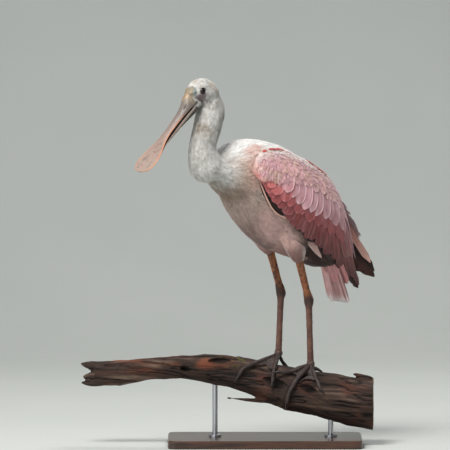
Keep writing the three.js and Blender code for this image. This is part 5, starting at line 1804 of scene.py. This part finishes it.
def wood_relief(points):
    """Weathered grain: height, cracks, and the coarse and fine furrows along the trunk."""
    flow = points.copy()
    flow[:, 2] = flow[:, 2] + 0.09 * points[:, 0]
    flow = flow + 7 * np.stack([0 * points[:, 0], noise(points, 60, 141), noise(points, 60, 142)], 1)
    stretched = flow * np.array([0.075, 1.0, 1.0])
    coarse = 1 - 2 * np.abs(layered(stretched, 9, 143))
    fine = 1 - 2 * np.abs(layered(stretched * np.array([0.6, 1, 1]), 3.2, 144))
    crack = smooth(coarse, 0.82, 0.98)
    height = 1.6 * layered(points, 42, 145) - 0.9 * (coarse - 0.4) - 2.2 * crack - 0.45 * fine
    return np.minimum(height, HIGHEST_GRAIN) - 0.4, crack, coarse, fine


def wood_tint(points, crack, coarse, fine):
    """Brown with pale ridges, cracks and furrows darkened by painted shade, a painted warm glow of light on
    top of the left end and moss in the middle.
    """
    patch = layered(points, 34, 151)
    made = mix(WOOD_BROWN, WOOD_DARK, 0.45 + 0.6 * coarse)
    made = mix(made, WOOD_PALE, smooth(-coarse, -0.5, 0.35) * (0.45 + 0.5 * patch))
    made = mix(made, WOOD_RED, smooth(patch, 0.05, 0.6) * 0.55)
    # painted shade in the cracks and fine furrows
    made = mix(made, WOOD_CRACK_SHADE, crack * 0.9 + 0.25 * smooth(fine, 0.6, 0.95))
    # painted light: a warm glow on the top of the left end
    glow = smooth(layered(points * np.array([0.4, 1, 1]), 20, 153), -0.1, 0.5)
    glow = glow * (1 - smooth(points[:, 0], -120, -40)) * smooth(points[:, 2], 118, 140)
    made = mix(made, WOOD_GLOW, 0.6 * glow)
    moss = smooth(layered(points, 5, 152), 0.1, 0.5) * np.exp(-((points[:, 0] + 50) / 30) ** 2)
    return mix(made, MOSS, 0.5 * moss * smooth(points[:, 2], 128, 146))


def wood_material():
    material, tree, shader = new_material("driftwood", 0.82, 0.3)
    tint = tint_and_variation(tree, shader, 5.0, 0.16)[2]
    fibre = stretched_noise(tree, (0.06, 1.0, 1.0), Scale=900.0, Detail=6.0, Roughness=0.65)
    bump(tree, shader, fibre, 0.7, 0.0015)
    shaded(tree, shader, tint, math_node(tree, "MULTIPLY_ADD", fibre, 0.7, 0.65))
    return material


WOOD = wood_material()


def hollow_out(points):
    """Push the points of each hollow in; also how much each point lies in its shade."""
    shade = np.zeros(len(points))
    for cx, cy, cz, rx, ry, rz, tilt in CAVITIES:
        dx, dz = points[:, 0] - cx, points[:, 2] - cz
        c, s = math.cos(tilt), math.sin(tilt)
        ratio = 1 - ((dx * c - dz * s) / rx) ** 2 - ((dx * s + dz * c) / rz) ** 2
        floor = cy + ry * np.sqrt(np.clip(ratio, 0, 1))
        push = (ratio > 0) & (points[:, 1] < floor) & (points[:, 1] > cy - ry - 12)
        points[:, 1] = np.where(push, floor, points[:, 1])
        shade = np.maximum(shade, smooth(ratio, 0.0, 0.6) * (points[:, 1] < cy + ry + 3))
    return shade


def near(value, middle, reach):
    """1 at the middle, 0 beyond the reach, with a flat top."""
    return np.exp(-(((value - middle) / reach) ** 4))


def plain_wood(points):
    """1 where the bark is free, 0 under the feet and at the rods."""
    held = np.zeros(len(points))
    for foot in FEET.values():
        for path, claw in foot.values():
            for x, angle, _ in [*path, claw]:
                far = np.linalg.norm(points - perch_surface(x, angle), axis=1)
                held = np.maximum(held, near(far, 0, 11))
    rods = np.maximum(near(points[:, 0], ROD_PLACES[0], 12), near(points[:, 0], ROD_PLACES[1], 12))
    return (1 - held) * (1 - rods * (points[:, 2] < 90))


def dress_perch():
    x, angle = np.meshgrid(np.linspace(PERCH[0][0], PERCH_END - 0.5, 200),
                           np.linspace(-math.pi, math.pi, 96, endpoint=False), indexing="ij")
    parts = [closed_loft(perch_surface(x, angle)[:, ::-1])]
    for run in SPLINTERS:
        table = through(run, 24)
        parts.append(closed_loft(tube_rings(table[:, :3], table[:, 3], 20, 1.0, (0, 1, 0))))
    points, quads = union_by_voxels("perch_union", parts, VOXELS["perch"], 1)
    points[:, 0] = np.minimum(points[:, 0], PERCH_END)
    shade = hollow_out(points)
    normals = point_normals(points, quads)
    height, *grain = wood_relief(points)
    end = smooth(points[:, 0], PERCH_END - 1.5, PERCH_END - 0.1)
    points = points + normals * (height * (1 - end) * plain_wood(points))[:, None]
    tint = mix(wood_tint(points, *grain), WOOD_SHADE, 0.85 * shade)
    # the sawn right end shows growth rings
    ring = np.hypot(points[:, 1] - 6, (points[:, 2] - 60) * 0.9) + 2.5 * noise(points, 16, 161)
    tint = mix(tint, mix(SAWN_PALE, SAWN_DARK, 0.5 + 0.5 * np.sin(ring * 1.6)), end)
    piece = make_piece("perch_wood", points, quads, WOOD, tint, in_bird=False)
    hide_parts("perch")


# Legs: shin, tarsus, feet and claws with their scutes; radii by the place along each bone

SHIN_ROWS, TARSUS_ROWS, LEG_SIDES = 110, 150, 56
SCUTES_HALF_ROUND = 5
FOOT_SIDES = 24
SHIN_RADII = [(0, 7.2), (0.35, 6.6), (0.75, 6.2), (0.93, 8), (1.06, 8.2)]
TARSUS_RADII = [(-0.02, 8.4), (0.04, 8), (0.12, 5.8), (0.5, 5.3), (0.9, 5.8), (1.02, 6.2)]
FOOT_TOP = 7.0
TOE_SIZES = {"inner": 3.9, "middle": 4.2, "outer": 3.8, "hind": 3.4}
# Toe paths on the perch: place along it, angle round it and lift, claws at the end
FEET = {
    "left": {
        "inner": ([(62, 0.42, 8), (44, 0.68, 5.5), (27, 0.88, 8)], (8, 1.12, 12.5)),
        "middle": ([(70, 0.5, 9), (55, 1, 6), (41, 1.62, 6), (37, 2, 6)], (35, 2.55, 5)),
        "outer": ([(82, 0.5, 8), (88, 0.85, 5), (93, 1.2, 5)], (101, 1.42, 2)),
        "hind": ([(84, -0.15, 6), (91, -0.4, 4.4)], (100, -0.6, 1.5)),
    },
    "right": {
        "inner": ([(20, 0.3, 9), (15, 0.85, 5.5), (13, 1.3, 5)], (10, 1.72, 2)),
        "middle": ([(8, 0.1, 9.5), (-13, 0.57, 6), (-36, 1.12, 6.5), (-44, 1.5, 5.5)], (-52, 1.95, 2)),
        "outer": ([(8, -0.5, 8), (-12, -0.62, 4.6), (-34, -0.62, 4.2)], (-52, -0.55, 1.5)),
        "hind": ([(30, -0.4, 8), (37, -0.62, 4.6)], (46, -0.8, 1.5)),
    },
}


def leg_material():
    material, tree, shader = new_material("leg_surface", 0.48, Subsurface_Weight=0.06,
                                          Subsurface_Scale=0.002)
    place, cloud, _ = tint_and_variation(tree, shader, 2.2, 0.16)
    cells = cell_distance(tree, place, Scale=620.0, feature="DISTANCE_TO_EDGE")
    flat = math_node(tree, "MINIMUM", cells, 0.12)
    bump(tree, shader, math_node(tree, "MULTIPLY_ADD", flat, 5.0, cloud), 0.6, 0.0006)
    return material


LEG = leg_material()


def scutes(rings, path, size, depth, seed):
    """Rows of overlapping scutes in front, small scales round the rest."""
    sides = rings.shape[1]
    along = np.concatenate([[0], np.cumsum(np.linalg.norm(np.diff(path, axis=0), axis=1))])
    column = np.linspace(0, 2 * math.pi, sides, endpoint=False) * SCUTES_HALF_ROUND / math.pi
    s, column = np.meshgrid(along / size, column, indexing="ij")
    wander = 0.12 * noise(np.stack([s, column, 0 * s], -1), 1.3, seed)
    shift = s + 0.5 * (np.floor(column) % 2) + wander
    saw = shift - np.floor(shift)
    round_in = np.abs(column - np.floor(column) - 0.5) * 2
    height = depth * (0.5 - saw) - depth * 0.7 * smooth(round_in, 0.75, 1.0)
    return rings + unit(rings - rings.mean(1, keepdims=True)) * height[..., None]


def leg_tint(points, shin, at_ankle):
    """Orange brown mottled with black above the ankle, pinkish tan below it."""
    fleck = layered(points, 6, 101)
    tan = mix(LEG_TAN, LEG_DUSK, 0.5 + 0.7 * fleck)
    orange = mix(LEG_ORANGE, LEG_RUST, 0.4 + 0.7 * fleck)
    mottle = layered(points * np.array([1, 1, 0.45]), 3.2, 103)
    orange = mix(orange, LEG_MOTTLE, smooth(mottle, -0.1, 0.5) * 0.85)
    base = mix(mix(tan, orange, shin), LEG_JOINT, at_ankle * 0.9)
    return mix(base, LEG_SPECK, smooth(layered(points, 2.6, 102), 0.1, 0.6) * 0.75)


def dress_leg(name):
    """Shin and tarsus in one skin, with a swollen ankle between them."""
    ankle, heel = np.array(ANKLES[name], float), np.array(HEELS[name], float)
    thigh = np.array(THIGHS[name], float)
    top = thigh[3] + (thigh[2] - thigh[3]) * 0.3
    hem = thigh[3][2] + 2.0
    upper = np.linspace((top[2] - hem - 6) / (top[2] - ankle[2]), 0.995, SHIN_ROWS)
    lower = np.linspace(0.004, 1 - FOOT_TOP / (ankle[2] - heel[2]), TARSUS_ROWS)
    path = np.concatenate([top + (ankle - top) * upper[:, None], ankle + (heel - ankle) * lower[:, None]])
    radius = np.concatenate([np.interp(place, *np.array(table).T)
                             for place, table in ((upper, SHIN_RADII), (lower, TARSUS_RADII))])
    shin = np.repeat([1.0, 0.0], [SHIN_ROWS, TARSUS_ROWS])
    for _ in range(4):
        for run in (path, radius, shin):
            run[1:-1] = (run[:-2] + run[1:-1] * 2 + run[2:]) / 4
    first, last = SHIN_ROWS - 20, SHIN_ROWS + 30
    for _ in range(40):
        radius[first:last] = (radius[first - 1:last - 1] + radius[first:last] * 2
                              + radius[first + 1:last + 1]) / 4
    radius += 0.7 * np.exp(-((path[:, 2] - ankle[2] + 3) / 6) ** 2)
    rings = scutes(tube_rings(path, radius, LEG_SIDES, 0.88), path, 3.4, 0.55, 111)
    points, faces = capped(rings)
    at_ankle = np.exp(-((points[:, 2] - ankle[2]) / 11) ** 2)
    centre = np.concatenate([np.repeat(path, LEG_SIDES, axis=0), path[[0, -1]]])
    points = points + 0.4 * layered(points, 5, 112)[:, None] * unit(points - centre)
    tint = leg_tint(points, np.append(np.repeat(shin, LEG_SIDES), [1, 0]), at_ankle)
    piece = make_piece(f"leg_{name}_skin", points, faces, LEG, tint)
    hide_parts(f"shin_{name}", f"tarsus_{name}")


def heel_place(name, up=0.0):
    """The heel in the shared frame, or a point over it."""
    return to_world(np.array(HEELS[name], float)) + np.array([0, 0, up])


def toe_run(name, toe):
    """Line of a toe from the heel, with the root and tip of its claw."""
    path, claw = FEET[name][toe]
    run = [perch_surface(*place) for place in path]
    root, tip = run[-1], perch_surface(*claw)
    return np.array([heel_place(name, -1.0), *run, root + (tip - root) * 0.12]), root, tip


def web(name, first, second):
    """Skin between the roots of two toes."""
    a, b = toe_run(name, first)[0], toe_run(name, second)[0]
    heel = heel_place(name)
    inner = np.linspace(0, 1, 12)
    rows = []
    for s in np.linspace(0.05, 0.5, 10):
        start, end = spline(a, np.array(s)), spline(b, np.array(s))
        sag = 1 - 0.35 * np.sin(math.pi * inner) * s * 2
        rows.append(heel + (start + (end - start) * inner[:, None] - heel) * sag[:, None])
    sheet = np.array(rows)
    thick = np.array([0, 0, 0.9])
    return closed_loft(np.concatenate([sheet + thick, (sheet - thick)[:, ::-1]], 1))


def foot_parts(name):
    """Ball, neck, toes with their knuckles and webs of a foot, as closed parts."""
    points, faces = ball(heel_place(name, 1.0), 7.2, rings=16, sides=FOOT_SIDES)
    parts = [(points.tolist(), faces.tolist())]
    neck = np.linspace(heel_place(name, 1.0), heel_place(name, FOOT_TOP) - [0.3, 0, 0], 6)
    parts.append(closed_loft(tube_rings(neck, np.full(6, 6.0), FOOT_SIDES, 0.9)))
    t = np.linspace(0, 1, 60)
    for toe, (path, _) in FEET[name].items():
        line = toe_run(name, toe)[0]
        knuckles = 0.1 * np.cos(t * len(path) * 2 * math.pi) * smooth(t, 0.15, 0.4)
        radius = TOE_SIZES[toe] * (1 - 0.07 * t * (len(line) - 1)) * (1 + knuckles) - 0.1
        parts.append(closed_loft(tube_rings(spline(line, t), radius, FOOT_SIDES, 0.95, (0, 0, 1))))
    return parts + [web(name, "inner", "middle"), web(name, "middle", "outer")]


def dress_claw(name, toe):
    """A claw that curves from the end of its toe down to its tip."""
    _, root, tip = toe_run(name, toe)
    angle = FEET[name][toe][1][1]
    outward = np.array([0, -math.sin(angle), math.cos(angle)])
    middle = root + (tip - root) * 0.6 + outward * np.linalg.norm(tip - root) * 0.12
    t = np.linspace(0, 1, 26)
    run = spline([root + (tip - root) * 0.06, middle, tip], t)
    radius = TOE_SIZES[toe] * np.interp(t, [0, 0.5, 0.9, 1], [0.74, 0.52, 0.22, 0.08])
    points, faces = capped(tube_rings(run, radius, FOOT_SIDES, 0.8, outward))
    tint = mix(CLAW_BROWN, CLAW_DARK, 0.5 + 0.7 * layered(points, 3, 131))
    piece = make_piece(f"claw_{name}_{toe}_horn", points, faces, CLAW, tint, in_bird=False)
    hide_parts(f"claw_{name}_{toe}")


def dress_foot(name):
    """Toes joined in one skin round the ball of the foot, and their claws."""
    heel = heel_place(name)[2]
    points, quads = union_by_voxels(f"foot_{name}_union", foot_parts(name), VOXELS["foot"], 3)
    cells = layered(points, 3.0, 121)
    points = points + point_normals(points, quads) * (0.22 * cells)[:, None]
    points[:, 2] = np.minimum(points[:, 2], heel + FOOT_TOP - 0.3)
    tint = mix(FOOT_BROWN, FOOT_DARK, 0.5 + 0.8 * layered(points, 5, 122))
    tint = mix(tint, FOOT_TAN, 0.5 * smooth(points[:, 2], heel - 2, heel + 6))
    tint = mix(tint, FOOT_SCALE, 0.5 * smooth(cells, 0.2, 0.6))
    piece = make_piece(f"foot_{name}_skin", points, quads, LEG, tint, in_bird=False)
    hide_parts(f"foot_{name}")
    for toe in FEET[name]:
        dress_claw(name, toe)


for leg_name in ("left", "right"):
    dress_leg(leg_name)
    dress_foot(leg_name)
dress_perch()


# Stand: polished dark wood and brushed steel on the solids themselves

def base_material():
    material, tree, shader = new_material("base_wood", 0.32, Coat_Weight=0.35, Coat_Roughness=0.15)
    grain = stretched_noise(tree, (1.0, 14.0, 14.0), Scale=9.0, Detail=8.0, Roughness=0.62, Distortion=0.6)
    two_tones(tree, shader, grain, srgb(44, 26, 18), srgb(92, 56, 38), (0.35, 0.68))
    bump(tree, shader, grain, 0.08, 0.001)
    return material


def steel_material():
    material, tree, shader = new_material("rod_steel", 0.3, Metallic=1.0)
    brushed = stretched_noise(tree, (1.0, 1.0, 0.04), Scale=900.0, Detail=3.0)
    two_tones(tree, shader, brushed, srgb(150, 152, 156), srgb(200, 202, 206))
    bump(tree, shader, brushed, 0.1, 0.0003)
    return material


BASE_WOOD = base_material()
STEEL = steel_material()
FINISHES = {"stand_base": BASE_WOOD, "stand_rod_left": STEEL, "stand_rod_right": STEEL}
for stand_name, finish in FINISHES.items():
    finished = frame["nodes"][stand_name].data.materials
    finished.clear()
    finished.append(finish)


# Set: pale floor with a curved backdrop, a key light, a large soft fill and a light from behind

# Metres: how far the floor comes forward, where its back stands, its height and the bend's radius
FLOOR_FRONT, FLOOR_BACK, FLOOR_HIGH, FLOOR_BEND = -4.0, 3.2, 3.5, 1.4
FLOOR_HALF_WIDTH = 6.0


def paper_material():
    material, tree, shader = new_material("floor_paper", 0.85, 0.2)
    paper = stretched_noise(tree, (1.0, 1.0, 1.0), Scale=3.0, Detail=2.0)
    two_tones(tree, shader, paper, srgb(196, 200, 196), srgb(204, 207, 203))
    return material


def build_floor():
    """A sheet of paper that bends up behind the model."""
    bend = np.linspace(0, math.pi / 2, 17)
    y = [FLOOR_FRONT, *(FLOOR_BACK - FLOOR_BEND * (1 - np.sin(bend))), FLOOR_BACK]
    z = [0.0, *(FLOOR_BEND * (1 - np.cos(bend))), FLOOR_HIGH]
    points = [(x, *place) for place in zip(y, z) for x in (-FLOOR_HALF_WIDTH, FLOOR_HALF_WIDTH)]
    faces = grid_faces(len(y), 2)
    mesh = bpy.data.meshes.new("floor")
    mesh.from_pydata(points, [], faces.tolist())
    mesh.polygons.foreach_set("use_smooth", np.ones(len(faces), bool))
    mesh.materials.append(paper_material())
    made = bpy.data.objects.new("floor", mesh)
    bpy.context.scene.collection.objects.link(made)


def area_light(name, place, size, energy, tone):
    """Round soft light, in metres and watts, that looks at the bird."""
    data = bpy.data.lights.new(name, "AREA")
    data.shape = "DISK"
    data.size = size
    data.energy = energy
    data.color = tone
    made = bpy.data.objects.new(name, data)
    made.location = place
    made.rotation_euler = (Vector(LIGHTS_AIM) - Vector(place)).to_track_quat("-Z", "Y").to_euler()
    bpy.context.scene.collection.objects.link(made)


WARM, COOL = (1.0, 0.98, 0.95), (0.96, 0.98, 1.0)
LIGHTS_AIM = (-0.03, 0.0, 0.36)
SKY_COLOUR = (0.86, 0.9, 0.95, 1)
SKY_STRENGTH = 0.26

build_floor()
area_light("key", (-0.7, -1.5, 2.5), 1.1, 70, WARM)
area_light("fill", (-2.2, -2.2, 1.0), 3.0, 38, COOL)
area_light("rim", (0.7, 1.2, 2.3), 1.0, 26, WARM)

world = bpy.data.worlds.new("studio")
world.use_nodes = True
sky = world.node_tree.nodes["Background"].inputs
sky["Color"].default_value = SKY_COLOUR
sky["Strength"].default_value = SKY_STRENGTH
bpy.context.scene.world = world
bpy.context.scene.view_settings.view_transform = "Standard"

# Camera: the photograph's direction and framing
CAMERA_AIM = Vector((-0.068, 0.0, 0.37485))
CAMERA_RISE = math.radians(3.5)
CAMERA_FAR = 12.0
SENSOR_WIDTH, LENS, CLIP_END = 36.0, 564.7, 60.0
camera_data = bpy.data.cameras.new("camera")
camera_data.sensor_width = SENSOR_WIDTH
camera_data.lens = LENS
camera_data.clip_end = CLIP_END
camera = bpy.data.objects.new("camera", camera_data)
camera.location = CAMERA_AIM + CAMERA_FAR * Vector((0, -math.cos(CAMERA_RISE), math.sin(CAMERA_RISE)))
camera.rotation_euler = (math.pi / 2 - CAMERA_RISE, 0, 0)
bpy.context.scene.collection.objects.link(camera)
bpy.context.scene.camera = camera

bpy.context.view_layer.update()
